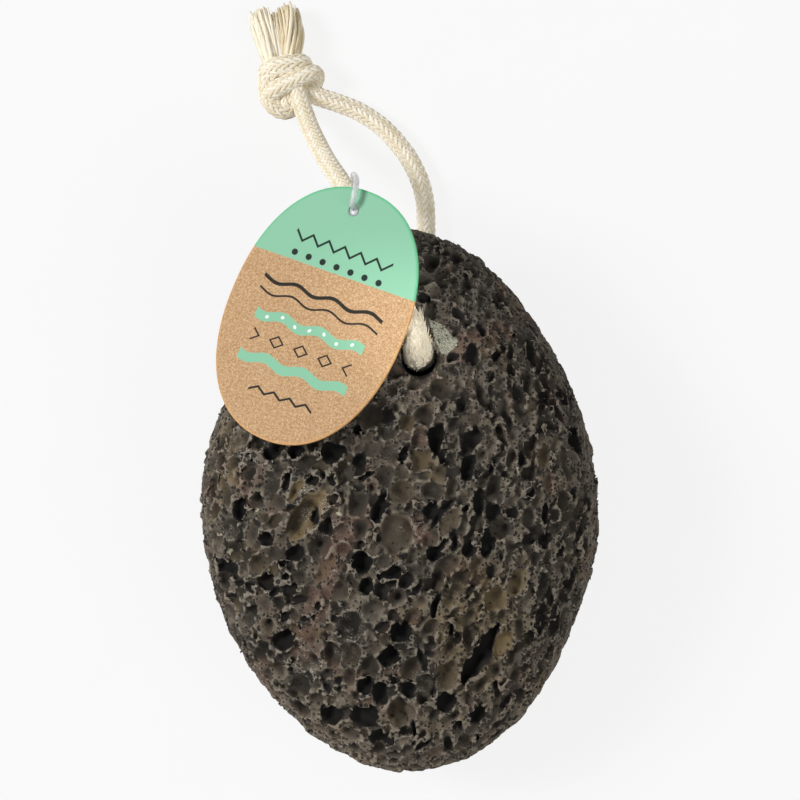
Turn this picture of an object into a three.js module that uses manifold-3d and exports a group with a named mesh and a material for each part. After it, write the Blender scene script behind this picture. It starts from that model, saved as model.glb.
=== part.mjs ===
// A dark volcanic pumice stone lying on its worn back. A hole is drilled through it near one end, a
// braided cotton cord is looped through the hole and tied in a knot with two frayed ends, and an oval
// card hangs on the cord from a plastic loop.
// Millimetres. The origin is under the middle of the stone, +Y runs along it to the drilled end, +Z is up.

import * as THREE from "three";
import { mergeVertices } from "three/addons/utils/BufferGeometryUtils.js";
import Module from "manifold-3d";

// Stone: an oval pebble with a domed face, a keel that the worn back cuts off, and a rim that rises to +Y
const STONE_LENGTH = 103.2;
const STONE_WIDTH = 75.4;
const STONE_CROWN = 22.5; // height of the domed face above the rim
const STONE_KEEL = 20.8; // depth of the keel below the rim, before the back is worn flat
const RIM_HEIGHT = 20; // rim above the worn back, at the middle of the stone
const RIM_SLOPE = 0.06; // rise of the rim for each millimetre along +Y
const RIM_LEAN = THREE.MathUtils.degToRad(3.6); // the long axis leans to -X at the drilled end
const PEBBLE_POWER = 2.4; // 2 is an ellipsoid, more is a flatter face with a rounder edge
const STONE_DETAIL = 7; // subdivisions of the pebble's surface

// Broad swellings of the pebble: wave numbers along X, Y and Z, phase, and height in millimetres
const SWELLINGS = [
  [2.6, 1.9, -1.4, 0.4, 0.5],
  [-3.4, 4.1, 2.2, 1.9, 0.4],
  [5.2, -2.7, 4.4, 3.1, 0.3],
  [-4.6, -6.3, 3.7, 5.0, 0.25],
];

// Hole drilled from the face to the back
const HOLE_RADIUS = 3.9;
const HOLE_FACE = [3.8, 27.6]; // X and Y of its middle on the face
const HOLE_BACK = [4.0, 28.8]; // and on the back
const HOLE_SIDES = 20;

// Gas pits of the face, as seen from above: middle X and Y, length, width, turn in degrees, depth
const FACE_PITS = [
  [-23.3, 10.3, 4.3, 3.1, 15, 2.6],
  [-19.2, 10.3, 2.9, 2.5, 0, 2.0],
  [-12.1, 10.1, 4.6, 3.3, 0, 2.8],
  [-29.8, -1.0, 4.4, 2.9, 80, 2.2],
  [-24.8, -6.2, 2.8, 2.2, 0, 1.8],
  [-32.6, -12.0, 4.0, 3.8, 40, 2.5],
  [-19.4, -8.8, 3.1, 2.7, 0, 2.0],
  [-21.7, -25.2, 5.0, 3.3, 35, 2.8],
  [-6.6, -10.2, 3.9, 3.7, 0, 3.2],
  [-6.2, -14.8, 3.2, 2.3, 90, 2.2],
  [-1.0, -12.2, 3.6, 2.6, 10, 2.2],
  [6.7, -8.7, 3.2, 2.4, 70, 2.4],
  [0.5, -23.3, 3.9, 3.7, 0, 3.0],
  [-1.7, -27.9, 3.7, 3.6, 0, 3.0],
  [-6.6, -33.4, 3.1, 3.0, 0, 2.4],
  [-3.4, -35.0, 4.0, 2.8, 90, 2.6],
  [2.0, -34.2, 3.2, 3.0, 0, 2.4],
  [-13.1, -39.6, 4.3, 3.9, 0, 2.6],
  [-6.5, -39.8, 5.3, 5.0, 0, 3.0],
  [0.3, -38.9, 6.6, 5.4, 100, 3.0],
  [-3.1, -44.3, 4.9, 3.7, 0, 2.4],
  [9.0, -36.8, 3.7, 3.3, 0, 2.4],
  [14.8, -39.6, 4.4, 2.9, 80, 2.2],
  [15.8, -27.4, 12.0, 4.8, 55, 3.4],
  [16.4, -6.5, 5.4, 2.9, 85, 2.2],
  [13.2, -8.0, 3.3, 2.7, 60, 1.8],
  [27.2, -6.6, 3.8, 2.3, 10, 1.6],
  [5.8, -0.8, 3.0, 2.8, 0, 2.0],
  [-3.6, -0.6, 6.0, 2.2, 65, 2.0],
  [-7.4, 7.9, 3.9, 2.6, 75, 2.0],
  [6.9, 12.7, 5.4, 3.9, 75, 2.6],
  [12.8, 7.2, 4.4, 2.9, 70, 2.0],
  [8.6, 0.0, 8.2, 2.2, 55, 2.0],
  [-17.1, -1.6, 12.0, 5.2, 55, 1.9],
  [-0.4, -4.9, 8.6, 7.0, 60, 2.2],
  [0.3, 2.5, 5.0, 4.8, 0, 1.8],
  [-8.9, -22.1, 5.8, 5.6, 0, 2.2],
  [-12.6, -27.4, 5.6, 3.8, 90, 2.0],
  [-9.0, -27.4, 5.6, 3.8, 90, 2.0],
  [2.6, -30.3, 5.2, 4.8, 0, 2.0],
  [9.0, -31.8, 7.2, 3.8, 85, 2.2],
  [18.2, -17.4, 5.2, 5.0, 0, 2.0],
  [21.9, -14.4, 6.2, 3.8, 75, 1.8],
  [25.0, -2.0, 5.0, 3.8, 80, 1.6],
  [19.2, 14.1, 4.4, 2.6, 80, 1.8],
  [27.2, 9.4, 4.4, 2.6, 80, 1.6],
];

// Gas pits of the sides and the back, scattered evenly
const SCATTERED_PITS = 36;
const SCATTER_SEED = 7;
const PIT_SIZES = [3.0, 6.4]; // shortest and longest
const PIT_ROUGHNESS = 0.22; // how far a pit's wall strays from an ellipsoid
const WORN_BACK_CLEAR = 9; // no pit opens nearer than this to the middle of the worn back

// Cord: its braid's thickness, and its route from the knot over the face, through the hole, under the
// stone and back to the knot
const CORD_DIAMETER = 3.5;
const CORD_SIDES = 8;
const CORD_STEPS = 42;
const CORD_ROUTE = [
  [-19.7, 78.6, 4.3],
  [-18.7, 76.4, 4.6],
  [-17.5, 73.3, 7.0],
  [-15.9, 69.7, 11.2],
  [-13.7, 65.4, 17.0],
  [-10.8, 60.8, 23.2],
  [-7.6, 55.2, 29.2],
  [-4.4, 49.9, 34.6],
  [-1.2, 45.0, 38.8],
  [1.6, 39.9, 41.6],
  [3.0, 36.6, 43.2],
  [3.3, 32.8, 44.1],
  [3.4, 28.7, 42.4],
  [3.5, 26.8, 38.4],
  [3.6, 26.5, 33.0],
  [3.7, 26.6, 27.0],
  [3.8, 26.8, 20.0],
  [3.9, 26.8, 14.0],
  [4.0, 26.9, 9.6],
  [4.2, 27.9, 5.3],
  [4.4, 30.9, 2.6],
  [4.7, 35.4, 2.05],
  [5.0, 41.0, 2.0],
  [5.4, 53.8, 2.0],
  [5.0, 59.5, 2.0],
  [3.5, 64.2, 2.0],
  [0.9, 68.6, 2.0],
  [-3.2, 73.1, 2.0],
  [-7.9, 76.2, 2.2],
  [-12.0, 77.8, 2.8],
  [-14.6, 78.6, 3.4],
  [-16.8, 79.4, 3.8],
];

// Knot: its middle, and the strokes of cord that show on it, from that middle
const KNOT_MIDDLE = [-20.9, 80.9, 4.4];
const KNOT_CORE = [4.4, 4.7, 3.2]; // half sizes of the cord packed inside
const KNOT_STROKE_STEPS = 7;
const KNOT_STROKES = [
  // the band across the front, from the lower left over the right shoulder
  [
    [-3.0, -3.0, -1.6],
    [-4.6, -2.2, 0.4],
    [-3.0, -0.9, 2.2],
    [0, 0.6, 2.5],
    [3.0, 2.2, 2.1],
    [4.4, 3.0, 0.2],
    [3.4, 2.6, -1.8],
  ],
  // the band above it
  [
    [-3.2, 1.0, -1.8],
    [-4.6, 2.4, 0.2],
    [-2.8, 3.5, 1.8],
    [0, 4.0, 2.0],
    [2.0, 4.2, 0.8],
    [2.0, 3.6, -1.4],
  ],
  // the left side and the lobe at the bottom
  [
    [-3.0, 3.6, -0.4],
    [-4.5, 1.2, 0.6],
    [-4.5, -1.4, 0.7],
    [-3.6, -3.4, 0.7],
    [-1.6, -4.6, 0.2],
    [0.6, -3.8, -1.2],
  ],
  // the crossing underneath
  [
    [3.6, 2.2, -1.8],
    [1.6, 0.6, -2.4],
    [-1.2, -0.8, -2.4],
    [-3.6, -2.2, -1.6],
  ],
];

// Frayed ends of the cord: where each leaves the knot, where its tips are, and its radius at both
const FRAYED_ENDS = [
  { from: [-2.6, 4.0, 0.2], to: [-6.3, 15.4, -1.8], radii: [1.5, 2.0] },
  { from: [0.4, 4.0, 0.2], to: [-0.4, 15.4, -1.6], radii: [1.6, 2.5] },
];
const FRAYED_SIDES = 10;

// Card: an oval with a small hole near its upper end, resting on the cord and the stone
const CARD_LENGTH = 50.4;
const CARD_WIDTH = 34.7;
const CARD_THICKNESS = 0.6;
const CARD_POWER = 2.2; // roundness of the oval's outline
const CARD_OUTLINE_POINTS = 44;
const CARD_MIDDLE = [-15.1, 35.6, 39.75];
const CARD_TURN = THREE.MathUtils.degToRad(-21.3);
const CARD_ROLL = THREE.MathUtils.degToRad(-21.8);
const CARD_PITCH = THREE.MathUtils.degToRad(-4.6);
const CARD_HOLE = [-1.3, 20.4];
const CARD_HOLE_RADIUS = 1.05;
const CARD_HOLE_POINTS = 14;

// Plastic loop: a closed ring through the card's hole and round the cord
const LOOP_THICKNESS = 1.0;
const LOOP_STEPS = 36;
const LOOP_SIDES = 6;
const LOOP_ROUTE = [
  [-8.2, 54.6, 36.5],
  [-8.3, 54.8, 37.9],
  [-8.5, 55.6, 39.2],
  [-8.1, 57.4, 39.6],
  [-7.7, 59.8, 38.8],
  [-7.8, 61.6, 34.5],
  [-8.2, 62.6, 28.5],
  [-8.6, 62.8, 23.6],
  [-8.7, 61.2, 20.8],
  [-10.3, 59.3, 20.0],
  [-12.5, 58.7, 20.8],
  [-13.5, 59.3, 24.0],
  [-12.2, 58.0, 29.0],
  [-10.2, 56.2, 33.4],
];

const TOUCH_GAP = 0.3; // clearance between pieces that rest against each other
const CUTTER_SIDE = 300; // side of the block that cuts the back flat

const wasm = await Module();
wasm.setup();

// Mulberry32, a small generator of repeatable random numbers from 0 to 1
function seededRandom(seed) {
  let state = seed;
  return () => {
    state = (state + 0x6d2b79f5) | 0;
    let mixed = Math.imul(state ^ (state >>> 15), 1 | state);
    mixed = (mixed + Math.imul(mixed ^ (mixed >>> 7), 61 | mixed)) ^ mixed;
    return ((mixed ^ (mixed >>> 14)) >>> 0) / 4294967296;
  };
}

function weld(geometry) {
  const bare = new THREE.BufferGeometry();
  bare.setAttribute("position", geometry.getAttribute("position"));
  bare.setIndex(geometry.getIndex());
  return mergeVertices(bare, 1e-4);
}

function toSolid(geometry) {
  const welded = weld(geometry);
  const vertProperties = new Float32Array(welded.getAttribute("position").array);
  const triVerts = new Uint32Array(welded.getIndex().array);
  return new wasm.Manifold(new wasm.Mesh({ numProp: 3, vertProperties, triVerts }));
}

function toGeometry(solid) {
  const mesh = solid.getMesh();
  const geometry = new THREE.BufferGeometry();
  geometry.setAttribute("position", new THREE.BufferAttribute(mesh.vertProperties, 3));
  geometry.setIndex(new THREE.BufferAttribute(mesh.triVerts, 1));
  return geometry;
}

function curveThrough(points, closed = false) {
  return new THREE.CatmullRomCurve3(points.map((p) => new THREE.Vector3(...p)), closed);
}

function roundSection(radius, sides) {
  const corners = Array.from({ length: sides }, (_, i) => {
    const angle = (2 * Math.PI * i) / sides;
    return new THREE.Vector2(radius * Math.cos(angle), radius * Math.sin(angle));
  });
  return new THREE.Shape(corners);
}

function cordAlong(curve, radius, steps) {
  return new THREE.ExtrudeGeometry(roundSection(radius, CORD_SIDES), { steps, extrudePath: curve });
}

// The pebble's reach from its middle in a direction, seen along its own long and short axes
function pebbleReach(direction) {
  const along = direction.y * Math.cos(RIM_LEAN) - direction.x * Math.sin(RIM_LEAN);
  const across = direction.x * Math.cos(RIM_LEAN) + direction.y * Math.sin(RIM_LEAN);
  const oval = Math.hypot(along / (STONE_LENGTH / 2), across / (STONE_WIDTH / 2));
  const rise = Math.abs(direction.z) / (direction.z > 0 ? STONE_CROWN : STONE_KEEL);
  const smooth = (oval ** PEBBLE_POWER + rise ** PEBBLE_POWER) ** (-1 / PEBBLE_POWER);
  const swell = SWELLINGS.reduce((sum, [kx, ky, kz, phase, height]) => {
    return sum + height * Math.sin(kx * direction.x + ky * direction.y + kz * direction.z + phase);
  }, 0);
  return smooth + swell;
}

function onPebble(direction) {
  const point = direction.clone().multiplyScalar(pebbleReach(direction));
  point.z += RIM_HEIGHT + RIM_SLOPE * point.y;
  return point;
}

// The direction from the pebble's middle to the place of the face that is seen at X, Y from above
function faceDirection(x, y) {
  const oval = Math.min(Math.hypot(x / (STONE_WIDTH / 2), y / (STONE_LENGTH / 2)), 0.99);
  const rise = STONE_CROWN * (1 - oval ** PEBBLE_POWER) ** (1 / PEBBLE_POWER);
  return new THREE.Vector3(x, y, rise).normalize();
}

function pebbleNormal(direction) {
  const step = 0.02;
  const side = new THREE.Vector3(0, 0, 1).cross(direction);
  if (side.lengthSq() < step) side.set(1, 0, 0);
  side.normalize();
  const other = direction.clone().cross(side);
  const here = onPebble(direction);
  const near = (offset) => onPebble(direction.clone().addScaledVector(offset, step).normalize()).sub(here);
  return near(side).cross(near(other)).normalize();
}

// A rough ellipsoid sunk in the surface: its middle lies on the surface, its depth along the normal
function pitSolid(direction, length, width, turn, depth, random) {
  const normal = pebbleNormal(direction);
  const along = new THREE.Vector3(Math.cos(turn), Math.sin(turn), 0);
  if (Math.abs(along.dot(normal)) > 0.9) along.set(0, 0, 1);
  along.addScaledVector(normal, -along.dot(normal)).normalize();
  const across = normal.clone().cross(along);
  const place = new THREE.Matrix4().makeBasis(
    along.multiplyScalar(length / 2),
    across.multiplyScalar(width / 2),
    normal.multiplyScalar(depth),
  );
  place.setPosition(onPebble(direction));
  const ball = weld(new THREE.IcosahedronGeometry(1, 1));
  const corners = ball.getAttribute("position");
  for (let i = 0; i < corners.count; i++) {
    const stray = 1 + PIT_ROUGHNESS * (2 * random() - 1);
    corners.setXYZ(i, corners.getX(i) * stray, corners.getY(i) * stray, corners.getZ(i) * stray);
  }
  return toSolid(ball.applyMatrix4(place));
}

// Even directions all round, of which those on the sides and the back get a pit
function scatteredPits(random) {
  const pits = [];
  const golden = Math.PI * (3 - Math.sqrt(5));
  for (let i = 0; i < SCATTERED_PITS; i++) {
    const height = 1 - (2 * (i + 0.5)) / SCATTERED_PITS;
    const angle = golden * i;
    const round = Math.sqrt(1 - height * height);
    const direction = new THREE.Vector3(round * Math.cos(angle), round * Math.sin(angle), height);
    const size = THREE.MathUtils.lerp(...PIT_SIZES, random());
    const turn = Math.PI * random();
    const place = onPebble(direction);
    const onFace = place.z > RIM_HEIGHT + STONE_CROWN / 2;
    const onBack = direction.z < 0 && Math.hypot(place.x, place.y) < WORN_BACK_CLEAR;
    const atHole = Math.hypot(place.x - HOLE_BACK[0], place.y - HOLE_BACK[1]) < 3 * HOLE_RADIUS;
    if (onFace || onBack || atHole) continue;
    pits.push(pitSolid(direction, size, 0.7 * size, turn, 0.45 * size, random));
  }
  return pits;
}

function makeStone() {
  const pebble = weld(new THREE.IcosahedronGeometry(1, STONE_DETAIL));
  const corners = pebble.getAttribute("position");
  for (let i = 0; i < corners.count; i++) {
    const point = onPebble(new THREE.Vector3().fromBufferAttribute(corners, i).normalize());
    corners.setXYZ(i, point.x, point.y, point.z);
  }
  let stone = toSolid(pebble);

  const random = seededRandom(SCATTER_SEED);
  for (const [x, y, length, width, turn, depth] of FACE_PITS) {
    const radians = THREE.MathUtils.degToRad(turn);
    stone = stone.subtract(pitSolid(faceDirection(x, y), length, width, radians, depth, random));
  }
  for (const pit of scatteredPits(random)) stone = stone.subtract(pit);

  const top = new THREE.Vector3(...HOLE_FACE, STONE_CROWN + STONE_KEEL);
  const bottom = new THREE.Vector3(...HOLE_BACK, 0);
  const reach = 3 * top.distanceTo(bottom);
  const drill = new THREE.CylinderGeometry(HOLE_RADIUS, HOLE_RADIUS, reach, HOLE_SIDES);
  const axis = top.clone().sub(bottom).normalize();
  drill.applyQuaternion(new THREE.Quaternion().setFromUnitVectors(new THREE.Vector3(0, 1, 0), axis));
  drill.translate(...top.clone().add(bottom).multiplyScalar(0.5).toArray());
  stone = stone.subtract(toSolid(drill));

  const ground = new THREE.BoxGeometry(CUTTER_SIDE, CUTTER_SIDE, CUTTER_SIDE);
  ground.translate(0, 0, -CUTTER_SIDE / 2);
  stone = stone.subtract(toSolid(ground));

  const geometry = toGeometry(stone);
  geometry.computeBoundingBox();
  const middle = geometry.boundingBox.getCenter(new THREE.Vector3());
  return geometry.translate(-middle.x, -middle.y, 0);
}

function frayedEnd({ from, to, radii }) {
  const start = new THREE.Vector3(...from);
  const tip = new THREE.Vector3(...to);
  const brush = new THREE.CylinderGeometry(radii[1], radii[0], start.distanceTo(tip), FRAYED_SIDES);
  const axis = tip.clone().sub(start).normalize();
  brush.applyQuaternion(new THREE.Quaternion().setFromUnitVectors(new THREE.Vector3(0, 1, 0), axis));
  return brush.translate(...start.add(tip).multiplyScalar(0.5).toArray());
}

// The strokes, the packed core and the frayed ends as one solid, with sockets for the cord's two ends
function makeKnot(cordCurve) {
  const core = new THREE.IcosahedronGeometry(1, 1).scale(...KNOT_CORE);
  let knot = toSolid(core);
  for (const stroke of KNOT_STROKES) {
    knot = knot.add(toSolid(cordAlong(curveThrough(stroke), CORD_DIAMETER / 2, KNOT_STROKE_STEPS)));
  }
  for (const end of FRAYED_ENDS) knot = knot.add(toSolid(frayedEnd(end)));
  knot = knot.translate(KNOT_MIDDLE);

  const socketRadius = CORD_DIAMETER / 2 + TOUCH_GAP;
  for (const [at, inward] of [[0, -1], [1, 1]]) {
    const end = cordCurve.getPointAt(at);
    const heading = cordCurve.getTangentAt(at).multiplyScalar(inward);
    const inner = end.clone().addScaledVector(heading, TOUCH_GAP);
    const outer = end.clone().addScaledVector(heading, -4 * CORD_DIAMETER);
    const socket = cordAlong(new THREE.LineCurve3(inner, outer), socketRadius, 1);
    knot = knot.subtract(toSolid(socket));
  }
  return toGeometry(knot);
}

function makeCard() {
  const signedPower = (value) => Math.sign(value) * Math.abs(value) ** (2 / CARD_POWER);
  const corners = Array.from({ length: CARD_OUTLINE_POINTS }, (_, i) => {
    const angle = (2 * Math.PI * i) / CARD_OUTLINE_POINTS;
    const x = (CARD_WIDTH / 2) * signedPower(Math.cos(angle));
    const y = (CARD_LENGTH / 2) * signedPower(Math.sin(angle));
    return new THREE.Vector2(x, y);
  });
  const outline = new THREE.Shape(corners);
  const hole = new THREE.Path().absarc(...CARD_HOLE, CARD_HOLE_RADIUS, 0, 2 * Math.PI, true);
  outline.holes.push(new THREE.Path(hole.getSpacedPoints(CARD_HOLE_POINTS)));
  const card = new THREE.ExtrudeGeometry(outline, { depth: CARD_THICKNESS, bevelEnabled: false });
  return card.translate(0, 0, -CARD_THICKNESS / 2);
}

function piece(name, geometry, color, roughness) {
  const mesh = new THREE.Mesh(geometry, new THREE.MeshStandardMaterial({ color, roughness, metalness: 0 }));
  mesh.name = name;
  return mesh;
}

const cordCurve = curveThrough(CORD_ROUTE);
const cordGeometry = cordAlong(cordCurve, CORD_DIAMETER / 2, CORD_STEPS);
const loopCurve = curveThrough(LOOP_ROUTE, true);
const loopGeometry = new THREE.TubeGeometry(loopCurve, LOOP_STEPS, LOOP_THICKNESS / 2, LOOP_SIDES, true);

const card = piece("card", makeCard(), 0xcfa06b, 0.85);
card.position.set(...CARD_MIDDLE);
card.rotation.set(CARD_PITCH, CARD_ROLL, CARD_TURN, "ZYX");

const pumice = new THREE.Group();
pumice.add(
  piece("stone", makeStone(), 0x4a4641, 0.95),
  piece("cord", cordGeometry, 0xe9dfc8, 0.9),
  piece("knot", makeKnot(cordCurve), 0xe9dfc8, 0.9),
  card,
  piece("plastic_loop", loopGeometry, 0xd5d8da, 0.3),
);

export default pumice;
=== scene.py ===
# %% [markdown]
# # A pumice stone on a cord
#
# A dark volcanic pumice, drilled near one end, lies on its worn back. A braided cotton cord runs through
# the hole and ends in a knot with two frayed ends, and an oval card hangs on it from a plastic loop.
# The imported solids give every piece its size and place. Here each one gets its real surface: gas pits in
# the stone, yarns in the cord, fibres at its ends, and the finishes that go with them.

import bpy
import numpy as np
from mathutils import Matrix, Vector


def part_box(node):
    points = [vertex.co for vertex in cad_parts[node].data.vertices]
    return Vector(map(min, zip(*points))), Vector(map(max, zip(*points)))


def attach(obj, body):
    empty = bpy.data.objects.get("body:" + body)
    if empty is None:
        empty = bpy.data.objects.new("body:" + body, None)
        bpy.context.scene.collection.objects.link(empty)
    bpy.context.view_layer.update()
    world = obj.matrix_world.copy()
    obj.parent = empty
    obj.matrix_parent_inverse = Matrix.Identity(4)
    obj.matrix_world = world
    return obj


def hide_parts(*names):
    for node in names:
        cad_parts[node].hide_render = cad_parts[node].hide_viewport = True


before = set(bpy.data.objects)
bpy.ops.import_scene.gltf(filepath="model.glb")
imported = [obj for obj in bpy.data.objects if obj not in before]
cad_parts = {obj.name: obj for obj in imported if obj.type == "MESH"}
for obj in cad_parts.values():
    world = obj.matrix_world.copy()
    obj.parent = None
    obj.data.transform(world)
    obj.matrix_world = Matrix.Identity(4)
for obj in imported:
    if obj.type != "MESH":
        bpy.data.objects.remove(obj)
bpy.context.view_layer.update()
MM = 0.001  # all shapes below are worked out in millimetres

# %% [markdown]
# ## Camera
#
# The stone is seen from straight above, so the camera hangs over it and looks down, with the drilled end
# at the top of the picture. A long lens far away keeps the cord near the floor and the card on top of the
# stone at nearly the same scale, as a product photograph does.

# %% Camera
PICTURE_MIDDLE = (0.285, 19.665)  # X and Y under the middle of the picture
CAMERA_HEIGHT = 655.0
LENS = 150.0

camera = bpy.data.objects.new("camera", bpy.data.cameras.new("camera"))
camera.data.lens = LENS
camera.location = (PICTURE_MIDDLE[0] * MM, PICTURE_MIDDLE[1] * MM, CAMERA_HEIGHT * MM)
bpy.context.scene.collection.objects.link(camera)
bpy.context.scene.camera = camera
bpy.context.scene.view_settings.view_transform = "Standard"
print("camera", CAMERA_HEIGHT, "mm up, lens", LENS, "mm")

# %% [markdown]
# ## From arrays to meshes
#
# Every piece starts as a shape: an array of points, a list of polygon arrays that index it, and named values
# for each point. One helper puts a shape into a Blender mesh in one go with foreach_set, which is far faster
# than adding vertices one by one, and sets what every piece needs: smooth shading, its finish, the body that
# it rides on and its material slot.


# %% Put a piece into the scene
def add_piece(name, shape, finish, stands_for=()):
    """A mesh object from a shape in millimetres. Its polygon arrays have one row a polygon."""
    points, polygons, attributes = shape
    mesh = bpy.data.meshes.new(name)
    corners = np.concatenate([p.ravel() for p in polygons])
    sizes = np.concatenate([np.full(len(p), p.shape[1]) for p in polygons])
    mesh.vertices.add(len(points))
    mesh.vertices.foreach_set("co", (points * MM).astype(np.float32).ravel())
    mesh.loops.add(len(corners))
    mesh.loops.foreach_set("vertex_index", corners.astype(np.int32))
    mesh.polygons.add(len(sizes))
    mesh.polygons.foreach_set("loop_start", (np.cumsum(sizes) - sizes).astype(np.int32))
    mesh.update(calc_edges=True)
    mesh.polygons.foreach_set("use_smooth", np.ones(len(sizes), bool))
    for key, values in attributes.items():
        vector = np.ndim(values) == 2
        layer = mesh.attributes.new(key, "FLOAT_VECTOR" if vector else "FLOAT", "POINT")
        layer.data.foreach_set("vector" if vector else "value", np.asarray(values, np.float32).ravel())
    mesh.materials.append(finish)
    piece = bpy.data.objects.new(name, mesh)
    bpy.context.scene.collection.objects.link(piece)
    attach(piece, "root")
    if stands_for:
        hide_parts(*stands_for)
    print(f"{name}: {len(points)} points, {int((sizes - 2).sum())} triangles")
    return piece


# %% Tubes and joined parts
def tube_polygons(count, rings, sides, closed=False):
    """Quads of several tubes, each rings by sides points, with a cap on both ends unless closed."""
    start = (np.arange(count) * rings * sides)[:, None, None]
    ring = np.arange(rings if closed else rings - 1)[None, :, None]
    side = np.arange(sides)[None, None, :]
    here, ahead = start + ring * sides, start + (ring + 1) % rings * sides
    beside = (side + 1) % sides
    quads = np.stack([here + side, here + beside, ahead + beside, ahead + side], -1).reshape(-1, 4)
    if closed:
        return [quads]
    around = np.arange(sides)
    first = start[:, 0] + around[::-1]
    last = start[:, 0] + (rings - 1) * sides + around
    return [quads, np.concatenate([first, last])]


def unit(vectors):
    """The same directions with length one."""
    return vectors / np.linalg.norm(vectors, axis=-1, keepdims=True)


def joined(*parts):
    """Several shapes as one, with the polygons' indices moved on."""
    starts = np.cumsum([0] + [len(points) for points, _, _ in parts])
    points = np.concatenate([points for points, _, _ in parts])
    polygons = [p + at for at, (_, lists, _) in zip(starts, parts) for p in lists]
    names = parts[0][2].keys()
    return points, polygons, {n: np.concatenate([a[n] for _, _, a in parts]) for n in names}


# %% [markdown]
# ## Shader maths as expressions
#
# A finish is a sum of masks and noises. Writing it as Python expressions keeps it readable: Value wraps a
# socket, and + - * / on it add Math nodes. Every other node comes from Finish.node, which takes the node's
# type, its settings and its sockets.


# %% Numbers that vary over a surface
def math_node(operation, swapped=False):
    """A method of Value that adds one Math node, its sides swapped for a reflected form such as 1 - mask."""

    def method(self, other=0.0):
        sides = (other, self) if swapped else (self, other)
        return self.finish.node("Math", {"operation": operation}, dict(enumerate(sides)))

    return method


class Value:
    """A number that varies over a surface: one output socket, with operators that add Math nodes."""

    __add__ = __radd__ = math_node("ADD")
    __sub__, __rsub__ = math_node("SUBTRACT"), math_node("SUBTRACT", swapped=True)
    __mul__ = __rmul__ = math_node("MULTIPLY")
    __truediv__, __rtruediv__ = math_node("DIVIDE"), math_node("DIVIDE", swapped=True)
    __pow__ = math_node("POWER")
    wave, absolute = math_node("SINE"), math_node("ABSOLUTE")
    most, folded = math_node("MAXIMUM"), math_node("PINGPONG")

    def __init__(self, finish, socket):
        self.finish = finish
        self.socket = socket

    def rise(self, low, high):
        """0 up to low, 1 from high on, and a smooth step between them. high below low falls instead."""
        span = {"Value": self, "From Min": low, "From Max": high}
        return self.finish.node("MapRange", {"interpolation_type": "SMOOTHSTEP"}, span)


# %% A material's nodes
class Finish:
    """A material's node tree."""

    def __init__(self, name):
        self.material = bpy.data.materials.new(name)
        self.material.use_nodes = True
        self.tree = self.material.node_tree
        self.tree.nodes.clear()

    def node(self, kind, settings=None, sockets=None, out=0):
        """Adds a node, makes its settings, fills its sockets with values or links, returns an output."""
        made = self.tree.nodes.new("ShaderNode" + kind)
        for name, setting in (settings or {}).items():
            setattr(made, name, setting)
        for name, value in (sockets or {}).items():
            if isinstance(value, Value):
                self.tree.links.new(value.socket, made.inputs[name])
            else:
                made.inputs[name].default_value = value
        return Value(self, made.outputs[out]) if made.outputs else None

    def attribute(self, name, out="Fac"):
        return self.node("Attribute", {"attribute_name": name}, out=out)

    def place(self, scale=1.0, offset=(0, 0, 0)):
        """Object coordinates in millimetres, times scale and then moved by offset."""
        where = self.node("TexCoord", out="Object")
        sizes = np.broadcast_to(np.asarray(scale, float) / MM, 3)
        return self.node("Mapping", None, {"Vector": where, "Scale": tuple(sizes), "Location": offset})

    def noise(self, where, scale=1.0, detail=3.0, roughness=0.55, out=0):
        sockets = {"Vector": where, "Scale": scale, "Detail": detail, "Roughness": roughness}
        return self.node("TexNoise", None, sockets, out)

    def cells(self, where, scale, out="Distance"):
        """Random cells: the distance to a cell's middle, or its own random Color."""
        return self.node("TexVoronoi", None, {"Vector": where, "Scale": scale}, out)

    def mix(self, share, first, second):
        """first where share is 0, second where it is 1."""
        return self.node("Mix", {"data_type": "RGBA"}, {0: share, 6: first, 7: second}, out=2)

    def layers(self, colour, *layers):
        """Lays each (share, colour) over a colour, one after the other."""
        for share, above in layers:
            colour = self.mix(share, colour, above)
        return colour

    def part(self, colour, which):
        """The red, green or blue of a colour, or the X, Y or Z of a vector."""
        return self.node("SeparateXYZ", None, {"Vector": colour}, out=which)

    def bump(self, height, distance, strength):
        """A normal that leans as if the surface had this height, times distance in millimetres."""
        return self.node("Bump", None, {"Height": height, "Distance": distance * MM, "Strength": strength})

    def surface(self, **sockets):
        """Ends the tree in a Principled shader. Socket names are written with _ for a space."""
        named = {name.replace("_", " "): value for name, value in sockets.items()}
        shader = self.node("BsdfPrincipled", None, named)
        self.node("OutputMaterial", None, {"Surface": shader})
        return self.material


# %% Screen colours
def rgb(red, green, blue):
    """A screen colour, 0 to 255, as the linear colour that shaders take."""
    screen = np.array([red, green, blue]) / 255
    linear = np.where(screen > 0.04045, ((screen + 0.055) / 1.055) ** 2.4, screen / 12.92)
    return (*linear.tolist(), 1.0)


# %% [markdown]
# ## Cotton
#
# Undyed cotton is cream, with fine fibres along each yarn, and a yellower, darker painted shade between the
# yarns. Every strand carries two attributes: lie, whose X is the distance along the strand and whose Y and Z
# turn round it, and tone, how pale it is: random from strand to strand, with painted shade where a yarn
# dips under another and on its side towards the core. Fine stripes along lie make the fibres.

# %% Cotton finish
FIBRE_STRIPES = (0.5, 2.6, 2.6)  # stripes in a millimetre along a yarn and in a radius across it


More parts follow.
